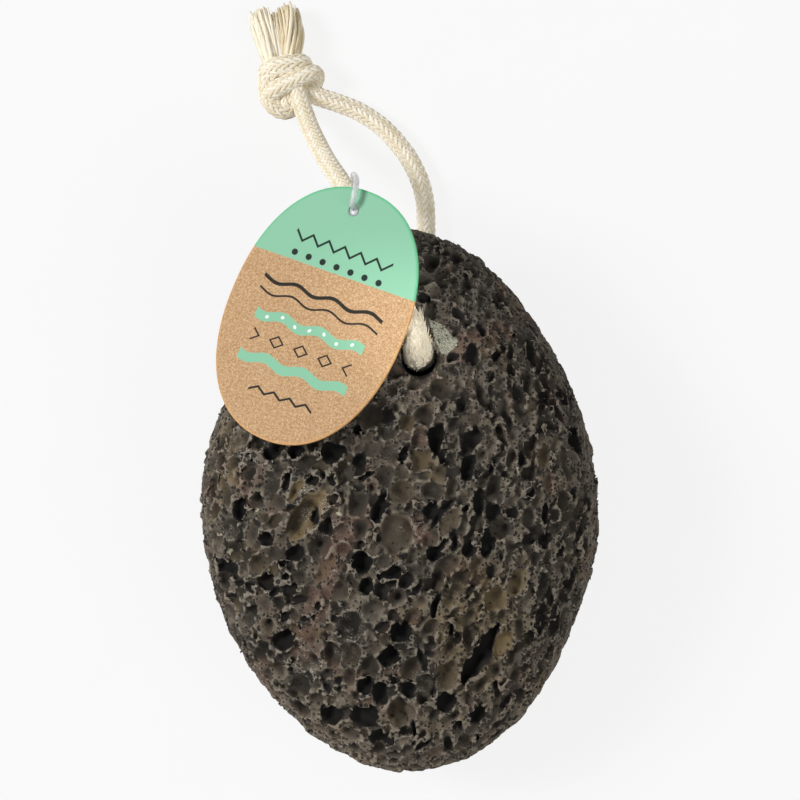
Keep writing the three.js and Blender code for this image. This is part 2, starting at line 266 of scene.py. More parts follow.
def cotton_finish(name, pale, shade):
    """Pale on top of a yarn and along single fibres, painted shade between; the fibres also raise the
    surface.
    """
    f = Finish(name)
    lie = f.attribute("lie", "Vector")
    tone = f.attribute("tone")
    drawn_out = f.node("VectorMath", {"operation": "MULTIPLY"}, {0: lie, 1: FIBRE_STRIPES})
    fibres = f.noise(drawn_out, 1.0, 4.0, 0.6)
    patches = f.noise(f.place(0.35), 1.0, 2.0)
    share = (tone * 0.75 + fibres.rise(0.3, 0.75) * 0.35 + patches.rise(0.35, 0.7) * 0.15).rise(0.15, 1.0)
    colour = f.mix(share, shade, pale)
    relief = f.bump(fibres, 0.12, 0.7)
    return f.surface(
        Base_Color=colour, Roughness=0.9, Normal=relief, Specular_IOR_Level=0.15, Sheen_Weight=0.25,
        Sheen_Roughness=0.5,
    )


cotton = cotton_finish("cotton_yarn", rgb(250, 243, 226), rgb(218, 200, 162))
loose_cotton = cotton_finish("loose_cotton", rgb(252, 244, 224), rgb(220, 201, 158))
print("finishes:", cotton.name, loose_cotton.name)

# %% [markdown]
# ## Cord's route
#
# The cord leaves the knot, passes behind the card into the drilled hole, comes out under the stone and goes
# back to the knot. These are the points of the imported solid's route. A Catmull-Rom curve goes through every
# one of them and bends smoothly between, so the cord lies where its solid does.

# %% Cord's route
CORD_DIAMETER = 3.5
CORD_ROUTE = [
    (-19.9, 80.2, 6.0), (-18.8, 76.9, 6.4), (-17.5, 73.3, 8.0), (-15.9, 69.7, 11.6), (-13.7, 65.4, 17.0),
    (-10.8, 60.8, 23.2), (-7.8, 55.2, 29.4), (-5.0, 49.9, 34.8), (-2.6, 45.0, 38.6), (-0.6, 40.4, 41.2),
    (1.1, 36.8, 42.4), (2.6, 33.4, 43.4), (3.4, 30.2, 42.6), (3.6, 28.4, 38.6), (3.7, 28.0, 33.0),
    (3.7, 27.8, 27.0), (3.8, 27.6, 20.0), (3.9, 27.5, 14.0), (4.0, 27.4, 9.6), (4.2, 28.1, 5.3),
    (4.4, 30.9, 2.6), (4.7, 35.4, 2.05), (5.0, 41.0, 2.0), (5.4, 53.8, 2.0), (5.0, 59.5, 2.0),
    (3.5, 64.2, 2.0), (0.9, 68.6, 2.0), (-3.2, 73.1, 2.0), (-7.9, 76.2, 2.2), (-12.0, 77.8, 2.8),
    (-14.6, 78.6, 3.4), (-16.8, 79.4, 3.9), (-18.4, 80.2, 4.2),
]


def smooth_path(points, spacing, closed=False):
    """Centripetal Catmull-Rom curve through points, cut at even distances.

    Each stretch is a cubic with the slopes of its neighbours, weighted by the square root of their gaps."""
    given = np.asarray(points, float)
    if closed:
        given = np.concatenate([given[-1:], given, given[:2]])
    else:
        given = np.concatenate([2 * given[:1] - given[1:2], given, 2 * given[-1:] - given[-2:-1]])
    p0, p1, p2, p3 = given[:-3], given[1:-2], given[2:-1], given[3:]
    d0, d1, d2 = (np.sqrt(np.linalg.norm(b - a, axis=1))[:, None] for a, b in ((p0, p1), (p1, p2), (p2, p3)))
    slope1 = ((p1 - p0) / d0 - (p2 - p0) / (d0 + d1) + (p2 - p1) / d1) * d1
    slope2 = ((p2 - p1) / d1 - (p3 - p1) / (d1 + d2) + (p3 - p2) / d2) * d1
    t = np.linspace(0, 1, 32, endpoint=False)[None, :, None]
    fine = (
        p1[:, None] * (2 * t**3 - 3 * t**2 + 1) + slope1[:, None] * (t**3 - 2 * t**2 + t)
        + p2[:, None] * (3 * t**2 - 2 * t**3) + slope2[:, None] * (t**3 - t**2)
    ).reshape(-1, 3)
    fine = np.concatenate([fine, p2[-1:]])
    run = np.concatenate([[0], np.cumsum(np.linalg.norm(np.diff(fine, axis=0), axis=1))])
    steps = np.linspace(0, run[-1], max(3, round(run[-1] / spacing) + 1))
    if closed:
        steps = steps[:-1]
    return np.stack([np.interp(steps, run, fine[:, i]) for i in range(3)], -1), steps


def carried_frame(path):
    """Unit tangent, side and upright at each point of a path, the side carried along without twisting."""
    tangent = unit(np.gradient(path, axis=0))
    side = np.empty_like(path)
    across = np.cross(tangent[0], (0.3, 0.2, 1.0))
    for i, ahead in enumerate(tangent):
        across = across - ahead * (across @ ahead)
        across = across / np.linalg.norm(across)
        side[i] = across
    return tangent, side, np.cross(tangent, side)


cord_path, cord_run = smooth_path(CORD_ROUTE, 1.0)
print(f"cord route: {cord_run[-1]:.1f} mm")

# %% [markdown]
# ## Braid
#
# The cord is a round braid: twelve yarns wind one way and twelve the other, each passing over two and under
# the next two. A plain tube with a braid drawn on it looks printed, so the yarns are real here. Each one is
# a helix round the cord's route whose radius swells and shrinks with its crossings, and the two hands are
# in opposite step, so that where one is out the other is in.

# %% Tubes round lines
# Painted shade: the dark tone of the cord's and the knot's cores, deep between the yarns.
PAINTED_SHADE_TONE = 0.1  # cotton deep between the yarns


def swept(lines, across, over, sides, along, tone, painted_dim=0.0, closed=False):
    """The shape of tubes round lines: an ellipse at each point, with the half axes across and over.

    lines, across and over are arrays of tubes by rings by X, Y, Z. along, the start of lie, and tone are one
    number a ring. The side away from across gets painted shade, darker by twice the share given after tone."""
    angle = 2 * np.pi * np.arange(sides) / sides
    cos, sin = np.cos(angle), np.sin(angle)
    points = lines[..., None, :] + cos[:, None] * across[..., None, :] + sin[:, None] * over[..., None, :]
    along, tone = (np.broadcast_to(v, lines.shape[:-1])[..., None] for v in (along, tone))
    lie = np.stack(np.broadcast_arrays(along, cos, sin), -1)
    tone = tone * (1 - painted_dim + painted_dim * cos)
    polygons = tube_polygons(lines[..., 0, 0].size, lines.shape[-2], sides, closed)
    return points.reshape(-1, 3), polygons, {"lie": lie.reshape(-1, 3), "tone": tone.ravel()}


def tube(path, radius, sides, closed=False):
    """One round tube along a path. radius is one number or one a point."""
    _, side, upright = carried_frame(path)
    radius = np.broadcast_to(radius, len(path))[:, None]
    along = np.arange(len(path))
    return swept(path, side * radius, upright * radius, sides, along, PAINTED_SHADE_TONE, closed=closed)


# %% Braid
YARNS_EACH_WAY = 12  # a multiple of four
BRAID_LAY = 15.7  # a yarn's full turn
YARN_HALF_WIDTH = 0.4
YARN_HALF_THICKNESS = 0.26
YARN_LIFT = 0.09  # how far a yarn moves out and in at a crossing
YARN_SIDES = 6
BRAID_SPACING = 0.31
CORE_SIDES = 8
# Painted shade: a yarn is darker on its side towards the core.
YARN_CORE_SHADE = 0.25  # yarns are darker towards the core
STRIPE_SHIFT = 40.0  # moves the stripes along, so that no two yarns have the same fibres


def braid(route, diameter, seed, swell=None):
    """Twenty-four yarns and a core along a route.

    A yarn's middle is the route plus a radius that turns once a lay. It moves out over two crossings and in
    over the next two, by a cosine whose step differs from yarn to yarn, which gives the herringbone look.
    Its section is an ellipse, wide round the cord and thin across it."""
    path, run = smooth_path(route, BRAID_SPACING)
    _, side, upright = carried_frame(path)
    girth = np.ones_like(run) if swell is None else swell(run)
    hand = np.array([1, -1])[:, None, None]
    yarn = np.arange(YARNS_EACH_WAY)[None, :, None]
    turn = hand * 2 * np.pi * run / BRAID_LAY + 2 * np.pi * yarn / YARNS_EACH_WAY
    crossing = 2 * YARNS_EACH_WAY * run / BRAID_LAY
    lift = hand * YARN_LIFT * np.cos(np.pi / 2 * (2 * yarn + hand * crossing) - np.pi / 4)
    reach = (diameter / 2 - YARN_HALF_THICKNESS - YARN_LIFT + lift) * girth
    out = np.cos(turn)[..., None] * side + np.sin(turn)[..., None] * upright
    middle = path + reach[..., None] * out
    ahead = unit(np.gradient(middle, axis=2))
    across = unit(np.cross(ahead, out))
    up = np.cross(across, ahead)
    tones = np.random.default_rng(seed).random((2, YARNS_EACH_WAY, 1))
    # Painted shade: a yarn is darker where it dips under the others.
    high = 0.5 + 0.5 * hand * lift / YARN_LIFT
    tone = (0.75 + 0.25 * tones) * (0.5 + 0.5 * high)
    thick, wide = YARN_HALF_THICKNESS * girth[:, None], YARN_HALF_WIDTH * girth[:, None]
    along = run + STRIPE_SHIFT * tones
    yarns = swept(middle, up * thick, across * wide, YARN_SIDES, along, tone, YARN_CORE_SHADE)
    core_radius = (diameter / 2 - 2 * YARN_HALF_THICKNESS - YARN_LIFT) * girth
    # The core takes the dark tone of painted shade.
    return joined(yarns, tube(path, core_radius, CORE_SIDES))


# %% Cord piece
MOUTH_RUN = 74.0  # distance along the route to the mouth of the hole
CORD_GIRTH = 1.07  # an unpulled braid lies a little wider
MOUTH_SWELL = 0.48  # the cord is fluffed up where it goes into the stone
MOUTH_LENGTH = 6.0
CORD_SEED = 1


def mouth_swell(run):
    """The cord's girth along its run, with a bell-shaped swelling at the mouth of the hole."""
    return CORD_GIRTH + MOUTH_SWELL * np.exp(-(((run - MOUTH_RUN) / MOUTH_LENGTH) ** 2))


cord_shape = braid(CORD_ROUTE, CORD_DIAMETER, CORD_SEED, mouth_swell)
cord = add_piece("braided_cord", cord_shape, cotton, ["cord"])

# %% [markdown]
# ## Knot
#
# The cord is tied to itself in an overhand knot. Only the strokes that show are braided, each along a
# short curve round the knot's middle, and a plain core of cotton in painted shade fills what they hide.

# %% Strokes of the knot
KNOT_MIDDLE = np.array([-20.9, 80.9, 4.4])
KNOT_CORE = np.array([3.8, 4.0, 2.6])
KNOT_STROKES = {
    "front band": [(-3.0, -3.0, -1.6), (-4.6, -2.2, 0.4), (-3.0, -0.9, 2.2), (0, 0.6, 2.5), (2.8, 2.0, 2.1),
                   (4.5, 2.3, 0.7), (4.5, 1.1, -0.9), (3.2, 0.6, -2.0)],
    "band above": [(-3.2, 1.0, -1.8), (-4.6, 2.4, 0.2), (-2.8, 3.5, 1.8), (0, 4.0, 2.0), (2.0, 4.2, 0.8),
                   (2.0, 3.6, -1.4)],
    "left side": [(-3.0, 3.6, -0.4), (-4.5, 1.2, 0.6), (-4.5, -1.4, 0.7), (-3.6, -3.4, 0.7),
                  (-1.6, -4.6, 0.2), (0.6, -3.8, -1.2)],
    "underneath": [(3.6, 2.2, -1.8), (1.6, 0.6, -2.4), (-1.2, -0.8, -2.4), (-3.6, -2.2, -1.6)],
    "tucked in": [(0.4, 0.2, 0.4), (-0.7, -1.8, 0.9), (-0.7, -3.4, 0.5), (0.2, -4.6, -0.8)],
}
STROKE_SIZES = [1.08, 1.22, 1.15, 1.08, 1.0]  # against the free cord: a pulled knot bulges
KNOT_SEED = 10
print("knot strokes:", ", ".join(KNOT_STROKES))


# %% Knot piece
def ball(middle, half_sizes, rings=24, sides=32):
    """An ellipsoid with closed poles, as a tube whose radius is a half circle along Z."""
    height = np.cos(np.linspace(np.pi, 0, rings))
    wide = np.sqrt(np.maximum(1e-6, 1 - height**2))[:, None]
    east, north, up = np.diag(half_sizes)
    path = middle + height[:, None] * up
    return swept(path, wide * east, wide * north, sides, 4 * height, PAINTED_SHADE_TONE)


strokes = [
    braid(KNOT_MIDDLE + np.array(stroke), CORD_DIAMETER * STROKE_SIZES[i], KNOT_SEED + i)
    for i, stroke in enumerate(KNOT_STROKES.values())
]
knot_shape = joined(ball(KNOT_MIDDLE, KNOT_CORE), *strokes)
knot = add_piece("knot_of_cord", knot_shape, cotton, ["knot"])

# %% [markdown]
# ## Frayed ends
#
# Past the knot the braid has come undone into two tufts of loose strands. Hair curves don't leave Blender
# with the model, so each strand is a thin tube with a few rings, and all of them are worked out together as
# one array.

# %% Thin strands
STRAND_SHIFT = 30.0  # as STRIPE_SHIFT, for loose strands


def thin_tubes(line, width, sides, rng, tip=0.15, tones=(0.55, 1.0)):
    """Many thin tubes at once along lines, an array of strands by rings, each thinning towards its tip."""
    count, rings = line.shape[:2]
    s = np.linspace(0, 1, rings)
    tangent = unit(np.gradient(line, axis=1))
    across = unit(np.cross(tangent, (0.21, 0.13, 0.97)))
    over = np.cross(tangent, across)
    thin = (np.broadcast_to(width, count)[:, None] * (1 - (1 - tip) * s**4))[..., None]
    chance = rng.random((count, 1))
    length = np.linalg.norm(line[:, -1] - line[:, 0], axis=1)[:, None] * s
    tone = tones[0] + (tones[1] - tones[0]) * chance
    return swept(line, across * thin, over * thin, sides, length + STRAND_SHIFT * chance, tone)


def sway(rng, count, s, height):
    """Sideways waves of strands that start at their roots: two sines in two directions across."""
    waves = rng.uniform(0.6, 1.7, (2, count, 1)) * np.pi * s + rng.uniform(0, 6.28, (2, count, 1))
    return (np.sin(waves) - np.sin(waves[..., :1])) * height * rng.uniform(0.3, 1, (2, count, 1))


# %% Tufts
STRAND_FLOOR = 0.35  # lowest middle of a strand that lies on the floor


def tuft(bend, radii, twist, count, width, height, seed, tones, rings=14):
    """Strands along a curve from root over middle to tip.

    The curve is a quadratic Bezier. Each strand keeps its place in a disc that widens from the first to the
    second radius and turns by twist along the curve, and stays above the floor."""
    rng = np.random.default_rng(seed)
    root, middle, tip = KNOT_MIDDLE + np.array(bend)
    s = np.linspace(0, 1, rings) * rng.uniform(0.86, 1, (count, 1))
    t = s[..., None]
    line = (1 - t) ** 2 * root + 2 * t * (1 - t) * middle + t**2 * tip
    ahead = unit((1 - t) * (middle - root) + t * (tip - middle))
    side = unit(np.cross(ahead, (0, 0, 1.0)))
    upright = np.cross(side, ahead)
    angle = rng.uniform(0, 2 * np.pi, (count, 1)) + twist * s
    far = np.sqrt(rng.random((count, 1))) * (radii[0] + (radii[1] - radii[0]) * np.sin(s * np.pi / 2))
    waves = sway(rng, count, s, height)
    line = line + (far * np.cos(angle) + waves[0])[..., None] * side
    line = line + (0.8 * far * np.sin(angle) + waves[1])[..., None] * upright
    line[..., 2] = np.maximum(line[..., 2], STRAND_FLOOR)
    return thin_tubes(line, width * rng.uniform(0.75, 1.15, count), 6, rng, 0.6, tones)


def tuft_core(bend, radius, tone):
    """A soft plug of cotton down the middle of a tuft, so that no gap between the strands looks black."""
    root, middle, tip = KNOT_MIDDLE + np.array(bend)
    path, run = smooth_path([root, (root + 2 * middle + tip) / 4, tip], 0.6)
    points, polygons, layers = tube(path, radius * (1 - 0.7 * (run / run[-1]) ** 6), 12)
    layers["tone"] = np.full(len(points), tone)
    return points, polygons, layers


# %% Frayed ends
LEFT_TUFT = [(-3.4, 3.0, 0.4), (-5.0, 9.0, 0.8), (-6.2, 15.2, -1.6)]
RIGHT_TUFT = [(-0.4, 3.0, 0.6), (1.1, 10.0, 1.2), (-1.8, 15.4, -1.4)]
LEFT_TONES = (0.7, 1.0)
# Painted shade: the right tuft's strands and core get lower, darker tones.
RIGHT_TONES = (0.15, 0.65)  # this one lies in the shade of the other
frayed_shape = joined(
    tuft_core(LEFT_TUFT[:2] + [(-6.0, 14.0, -1.2)], radius=1.1, tone=0.8),
    tuft_core(RIGHT_TUFT[:2] + [(-1.4, 14.2, -1.0)], radius=1.3, tone=0.5),
    tuft(LEFT_TUFT, (1.4, 1.8), twist=0.5, count=64, width=0.36, height=0.3, seed=31, tones=LEFT_TONES),
    tuft(RIGHT_TUFT, (1.3, 2.4), twist=-1.9, count=90, width=0.36, height=0.4, seed=32, tones=RIGHT_TONES),
    tuft(LEFT_TUFT, (1.5, 2.0), twist=0.6, count=60, width=0.06, height=0.5, seed=33, tones=LEFT_TONES),
    tuft(RIGHT_TUFT, (1.4, 2.5), twist=-1.7, count=80, width=0.06, height=0.6, seed=34, tones=RIGHT_TONES),
)
frayed_ends = add_piece("frayed_ends", frayed_shape, loose_cotton)

# %% [markdown]
# ## Fluff
#
# Spun cotton is never smooth: short fibres stand off the whole cord, and where it goes into the stone it is
# rubbed into a soft bulb. These fibres are thin tubes too, with their roots on the cord and a lean along it.

# %% Fibres of the fluff
FIBRE_ROOT = 0.15  # fibres start this far under the cord's surface
FIBRE_STRAY = 0.35  # how far they turn aside from the cord


def fluff(path, radius, count, length, lean, width, seed, rings=6):
    """Fibres with their roots on a cord's surface, leaning along it and standing off by lean."""
    rng = np.random.default_rng(seed)
    tangent, side, upright = carried_frame(path)
    at = rng.integers(0, len(path), count)
    turn = rng.uniform(0, 2 * np.pi, count)[:, None]
    out = np.cos(turn) * side[at] + np.sin(turn) * upright[at]
    round_cord = np.cross(tangent[at], out)
    way = tangent[at] * rng.choice([-1, 1], count)[:, None]
    way = way + FIBRE_STRAY * rng.normal(size=(count, 1)) * round_cord
    roots = path[at] + out * (np.broadcast_to(radius, len(path))[at] - FIBRE_ROOT)[:, None]
    stand = rng.uniform(0, 1, (count, 1)) * lean
    tips = roots + (unit(way) + stand * out) * rng.uniform(0.4, 1, (count, 1)) * length
    s = np.linspace(0, 1, rings)
    waves = sway(rng, count, s, 0.12 * length)
    line = roots[:, None] + (tips - roots)[:, None] * s[None, :, None]
    line = line + waves[0][..., None] * round_cord[:, None] + waves[1][..., None] * 0.5 * out[:, None]
    return thin_tubes(line, width * rng.uniform(0.6, 1.2, count), 3, rng)


# %% Fluff
UNDER_STONE_RUN = 112.0  # from here on the cord shows again
MOUTH_REACH = 8.0  # the bulb of fluff, each way along the cord

in_air = cord_path[(cord_run < MOUTH_RUN + MOUTH_LENGTH) | (cord_run > UNDER_STONE_RUN)]
mouth = abs(cord_run - MOUTH_RUN) < MOUTH_REACH
mouth_path = cord_path[mouth]
mouth_radius = CORD_DIAMETER / 2 * mouth_swell(cord_run[mouth])
fluff_shape = joined(
    fluff(in_air, CORD_DIAMETER / 2 * CORD_GIRTH, count=1500, length=1.4, lean=0.22, width=0.02, seed=41),
    fluff(mouth_path, mouth_radius, count=900, length=3.6, lean=0.05, width=0.13, seed=42),
    fluff(mouth_path, mouth_radius, count=900, length=2.6, lean=0.14, width=0.05, seed=44),
    fluff(mouth_path, mouth_radius, count=500, length=1.8, lean=0.5, width=0.03, seed=43),
)
fluff_piece = add_piece("cord_fluff", fluff_shape, loose_cotton)

# %% [markdown]
# ## Card
#
# The hang tag is die-cut card: a rounded oval with a punched hole. Its surface is a profile, across the
# top, over the rounded cut edge, back underneath and through the hole, carried once round the outline.
# The profile's points lie on rays from the hole to the outline.

# %% Card shape
CARD_SIZE = np.array([35.7, 49.9])
CARD_THICKNESS = 0.6
CARD_POWER = 2.2
CARD_MIDDLE = np.array([-15.1, 35.3, 39.75])
CARD_TURN, CARD_ROLL, CARD_PITCH = np.radians([-21.3, -21.8, -4.6])
CARD_HOLE = np.array([-1.3, 20.6])
CARD_HOLE_RADIUS = 1.05
CUT_EDGE = 0.12  # rounding of the cut edges


def turned(points):
    """Card points turned about X by the pitch, then Y by the roll, then Z by the turn."""
    (cp, sp), (cr, sr), (ct, st) = ((np.cos(a), np.sin(a)) for a in (CARD_PITCH, CARD_ROLL, CARD_TURN))
    about_x = np.array([[1, 0, 0], [0, cp, -sp], [0, sp, cp]])
    about_y = np.array([[cr, 0, sr], [0, 1, 0], [-sr, 0, cr]])
    about_z = np.array([[ct, -st, 0], [st, ct, 0], [0, 0, 1]])
    return points @ (about_z @ about_y @ about_x).T


def oval_card(around=288, across=28):
    """Points of the card: rows follow the outline, columns the closed profile from hole to edge and back.

    The outline is a superellipse. A column lies on the ray from the hole's middle to its outline point, at
    a distance that runs from the hole's rim to the edge over the top and back underneath."""
    angle = 2 * np.pi * np.arange(around) / around
    both = np.stack([np.cos(angle), np.sin(angle)], -1)
    outline = CARD_SIZE / 2 * np.sign(both) * abs(both) ** (2 / CARD_POWER)
    ray = outline - CARD_HOLE
    length = np.linalg.norm(ray, axis=1)[:, None]
    corner = np.linspace(0, np.pi / 2, 4)
    half = CARD_THICKNESS / 2
    inset = CUT_EDGE * (1 - np.sin(corner))
    drop = half - CUT_EDGE * (1 - np.cos(corner))
    share = np.linspace(0, 1, across)[1:-1]
    near = np.broadcast_to(CARD_HOLE_RADIUS + inset, (around, 4))
    far = length - inset
    top = (CARD_HOLE_RADIUS + CUT_EDGE) * (1 - share) + (length - CUT_EDGE) * share
    reach = np.concatenate([near[:, ::-1], top, far, far[:, ::-1], top[:, ::-1], near], 1)
    height = np.concatenate([
        drop[::-1], np.full(across - 2, half), drop, -drop[::-1], np.full(across - 2, -half), -drop,
    ])
    flat = CARD_HOLE + (ray / length)[:, None] * reach[..., None]
    return np.concatenate([flat, np.broadcast_to(height, reach.shape)[..., None]], -1)


card_local = oval_card()
card_rings, card_sides = card_local.shape[:2]
print("card profile:", card_sides, "points round", card_rings, "stations")

# %% [markdown]
# ## Board and print
#
# The card is brown board of recycled fibres with a green printed cap. An image could hold the print, but
# maths on the card's own X and Y stays sharp at any size. Every motif is a distance: to a zigzag, a wave,
# a dot or a lozenge, repeated along X by folding it back and forth.


# %% Fibre board
def fibre_board(f, spot, grain, fibres):
    """Two browns by the grain, then pale specks, redder fibres and dark dust."""
    specks = f.noise(spot, 4.5, 2.0, 0.5)
    return f.layers(
        rgb(168, 129, 88),
        (grain.rise(0.34, 0.66), rgb(202, 167, 126)),
        (specks.rise(0.58, 0.7) * 0.7, rgb(228, 204, 176)),
        (fibres.rise(0.6, 0.74) * 0.6, rgb(160, 112, 72)),
        (specks.rise(0.36, 0.26) * 0.7, rgb(136, 96, 64)),
    )


# %% Printed motifs
SOFT_EDGE = 0.06  # of a printed line
SOFT_END = 0.1
LONG_WAVE = 0.8
ZIGZAG_AT, BEADS_AT, WAVE_AT, THIN_WAVE_AT = 12.0, 9.6, 3.4, 1.0  # Y of each row of the print
BAND_AT, LOZENGES_AT, LOW_BAND_AT, LOW_ZIGZAG_AT = -3.2, -7.4, -11.4, -16.2
BEADS_APART, TEETH_APART, LOZENGES_APART = 1.5, 1.7, 2.6  # half of it


def stroke(distance, half_width):
    """1 within half_width of a line, with a soft edge."""
    return distance.absolute().rise(half_width + SOFT_EDGE, half_width - SOFT_EDGE)


def within(x, reach):
    """1 up to reach on both sides of the card's middle."""
    return x.absolute().rise(reach + SOFT_END, reach - SOFT_END)


def motifs(x, y):
    """Shares of ink on the cap, ink on the board, green bands and white dots."""
    beads = x.folded(BEADS_APART)
    teeth = (x + TEETH_APART).folded(TEETH_APART)
    lozenges = x.folded(LOZENGES_APART) * 0.8 + (y - LOZENGES_AT).absolute()
    ripple = (x * LONG_WAVE).wave() * 0.5
    dots = (beads**2 + (y - BEADS_AT) ** 2) ** 0.5
    band_dots = (beads**2 + (y - BAND_AT - ripple) ** 2) ** 0.5
    cap_ink = stroke(y - ZIGZAG_AT - teeth, 0.3).most(stroke(dots, 0.62)) * within(x, 10.3)
    waves = stroke(y - WAVE_AT - ripple, 0.36).most(stroke(y - THIN_WAVE_AT - ripple, 0.2))
    bands = stroke(y - BAND_AT - ripple, 0.95).most(stroke(y - LOW_BAND_AT - ripple, 0.95))
    board_ink = (waves * within(x, 12.8)).most(stroke(lozenges - 1.1, 0.2) * within(x, 10.5))
    board_ink = board_ink.most(stroke(y - LOW_ZIGZAG_AT + teeth * 0.6, 0.24) * within(x, 6.8))
    return cap_ink, board_ink, bands * within(x, 11.5), stroke(band_dots, 0.34) * within(x, 10.8)


# %% Card finish
INK, BAND_GREEN, DOT_WHITE = rgb(10, 18, 20), rgb(134, 191, 159), rgb(236, 240, 234)
# Painted light along the cut edge: a darker green is painted shade on the cap, a paler brown a painted
# highlight on the board.
EDGE_SHADE_GREEN, EDGE_HIGHLIGHT_BROWN = rgb(93, 187, 134), rgb(212, 158, 98)  # tints along the cut edge
INK_COVER = 0.97
CAP_EDGE, CAP_SLOPE = 8.34, 0.0235  # the cap's lower edge: its Y at X 0, and its rise along X


def card_finish():
    """Board and cap with their print, painted shade and highlight along the cut edge, and the board's grain
    as relief.
    """
    f = Finish("printed_card")
    spot = f.attribute("flat", "Vector")
    x, y = f.part(spot, 0), f.part(spot, 1)
    grain = f.noise(spot, 2.6, 4.0, 0.65)
    fibre_way = f.node("Mapping", None, {"Vector": spot, "Scale": (1.2, 5.0, 1.0), "Rotation": (0, 0, 0.6)})
    fibres = f.noise(fibre_way, 1.1, 3.0, 0.6)
    cap_ink, board_ink, bands, dots = motifs(x, y)
    board = fibre_board(f, spot, grain, fibres)
    board = f.layers(board, (bands, BAND_GREEN), (dots, DOT_WHITE), (board_ink * INK_COVER, INK))
    mint = f.mix(grain.rise(0.3, 0.7) * 0.25, rgb(137, 192, 160), rgb(132, 187, 155))
    mint = f.mix(cap_ink * INK_COVER, mint, INK)
    cap = (y - x * CAP_SLOPE - CAP_EDGE).rise(-0.1, 0.1)
    across, up = x / (CARD_SIZE[0] / 2), y / (CARD_SIZE[1] / 2)
    rim = 1 - (across.absolute() ** CARD_POWER + up.absolute() ** CARD_POWER)
    # Painted shade along the cap's cut edge and a painted highlight along the board's.
    cap_edge_shade = rim.rise(0.06, 0.015) * cap * 0.8
    board_edge_highlight = rim.rise(0.05, 0.015) * (1 - cap) * 0.6
    colour = f.layers(board, (cap, mint), (cap_edge_shade, EDGE_SHADE_GREEN), (board_edge_highlight, EDGE_HIGHLIGHT_BROWN))
    relief = f.bump(grain * 0.6 + fibres * 0.4, 0.05, 0.35)
    return f.surface(Base_Color=colour, Roughness=0.75, Normal=relief, Specular_IOR_Level=0.3)


# %% Card piece
card_flat = card_local.reshape(-1, 3)
card_points = CARD_MIDDLE + turned(card_flat)
card_shape = (card_points, tube_polygons(1, card_rings, card_sides, True), {"flat": card_flat})
card = add_piece("printed_card", card_shape, card_finish(), ["card"])
card_miss = (np.array(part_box("card")) / MM - [card_points.min(0), card_points.max(0)]).round(2)
print("card against its solid, mm:", card_miss.tolist())

# %% [markdown]
# ## Plastic loop
#
# A thin loop of clear plastic goes through the card's hole and round the cord. It is one closed tube, with
# a flattened round end lying in the hole. Its finish lets light through, a little greyed and hazy, and its
# gloss comes from the lamps.

# %% Plastic loop
LOOP_RADIUS = 0.55
LOOP_END = np.array([0.95, 0.95, 0.22])  # half sizes of the flattened end
LOOP_END_LIFT = 0.02
LOOP_ROUTE = [
    (-8.2, 55.1, 36.5), (-8.3, 55.3, 37.9), (-8.5, 55.9, 39.2), (-8.2, 57.4, 39.6), (-7.8, 59.6, 38.8),
    (-7.9, 60.9, 34.5), (-8.2, 61.8, 28.5), (-8.6, 62.2, 23.6), (-8.7, 61.0, 20.8), (-10.3, 59.3, 20.0),
    (-12.5, 58.7, 20.8), (-13.5, 59.3, 24.0), (-12.2, 58.0, 29.0), (-10.2, 56.2, 33.4),
]


def clear_plastic():
    """Greyish plastic that lets most light through, with cloudy changes of tint and gloss."""
    f = Finish("clear_plastic")
    haze = f.noise(f.place(0.8), 1.0, 3.0)
    colour = f.mix(haze.rise(0.3, 0.7), rgb(232, 232, 236), rgb(250, 250, 252))
    return f.surface(
        Base_Color=colour, Roughness=0.22 + haze * 0.15, IOR=1.46, Transmission_Weight=0.6,
    )


loop_path, _ = smooth_path(LOOP_ROUTE, 0.4, True)
loop_end, end_polygons, end_layers = ball(np.zeros(3), LOOP_END, 8, 20)
loop_end = CARD_MIDDLE + turned(loop_end + np.append(CARD_HOLE, LOOP_END_LIFT))
loop_shape = joined(tube(loop_path, LOOP_RADIUS, 12, True), (loop_end, end_polygons, end_layers))
plastic_loop = add_piece("tag_loop", loop_shape, clear_plastic(), ["plastic_loop"])

# %% [markdown]
# ## Stone
#
# Pumice is frozen foam. Its surface is a smooth worn pebble that cuts through thousands of gas bubbles, so
# no height map gives its broken cells and undercut pits. The shape is worked out as a field on a grid of
# points instead: negative inside the stone, positive outside. The pebble is one such field, each bubble is
# another that is taken away, and the surface is where the sum is zero.

# %% Pebble field
STONE_LENGTH, STONE_WIDTH = 103.2, 75.4
STONE_CROWN, STONE_KEEL = 22.5, 20.8
RIM_HEIGHT, RIM_SLOPE = 20.0, 0.06
RIM_LEAN = np.radians(3.6)
PEBBLE_POWER = 2.4
OUTLINE_WAVES = [  # waves round the outline, share of a cosine and of a sine
    (0, -0.011, 0.0), (1, 0.0016, -0.003), (2, 0.0, 0.0148), (3, -0.009, -0.0045), (4, 0.025, 0.0034),
    (5, -0.004, -0.0034),
]
SWELLINGS = [
    (2.6, 1.9, -1.4, 0.4, 0.5), (-3.4, 4.1, 2.2, 1.9, 0.4), (5.2, -2.7, 4.4, 3.1, 0.3),
    (-4.6, -6.3, 3.7, 5.0, 0.25),
]


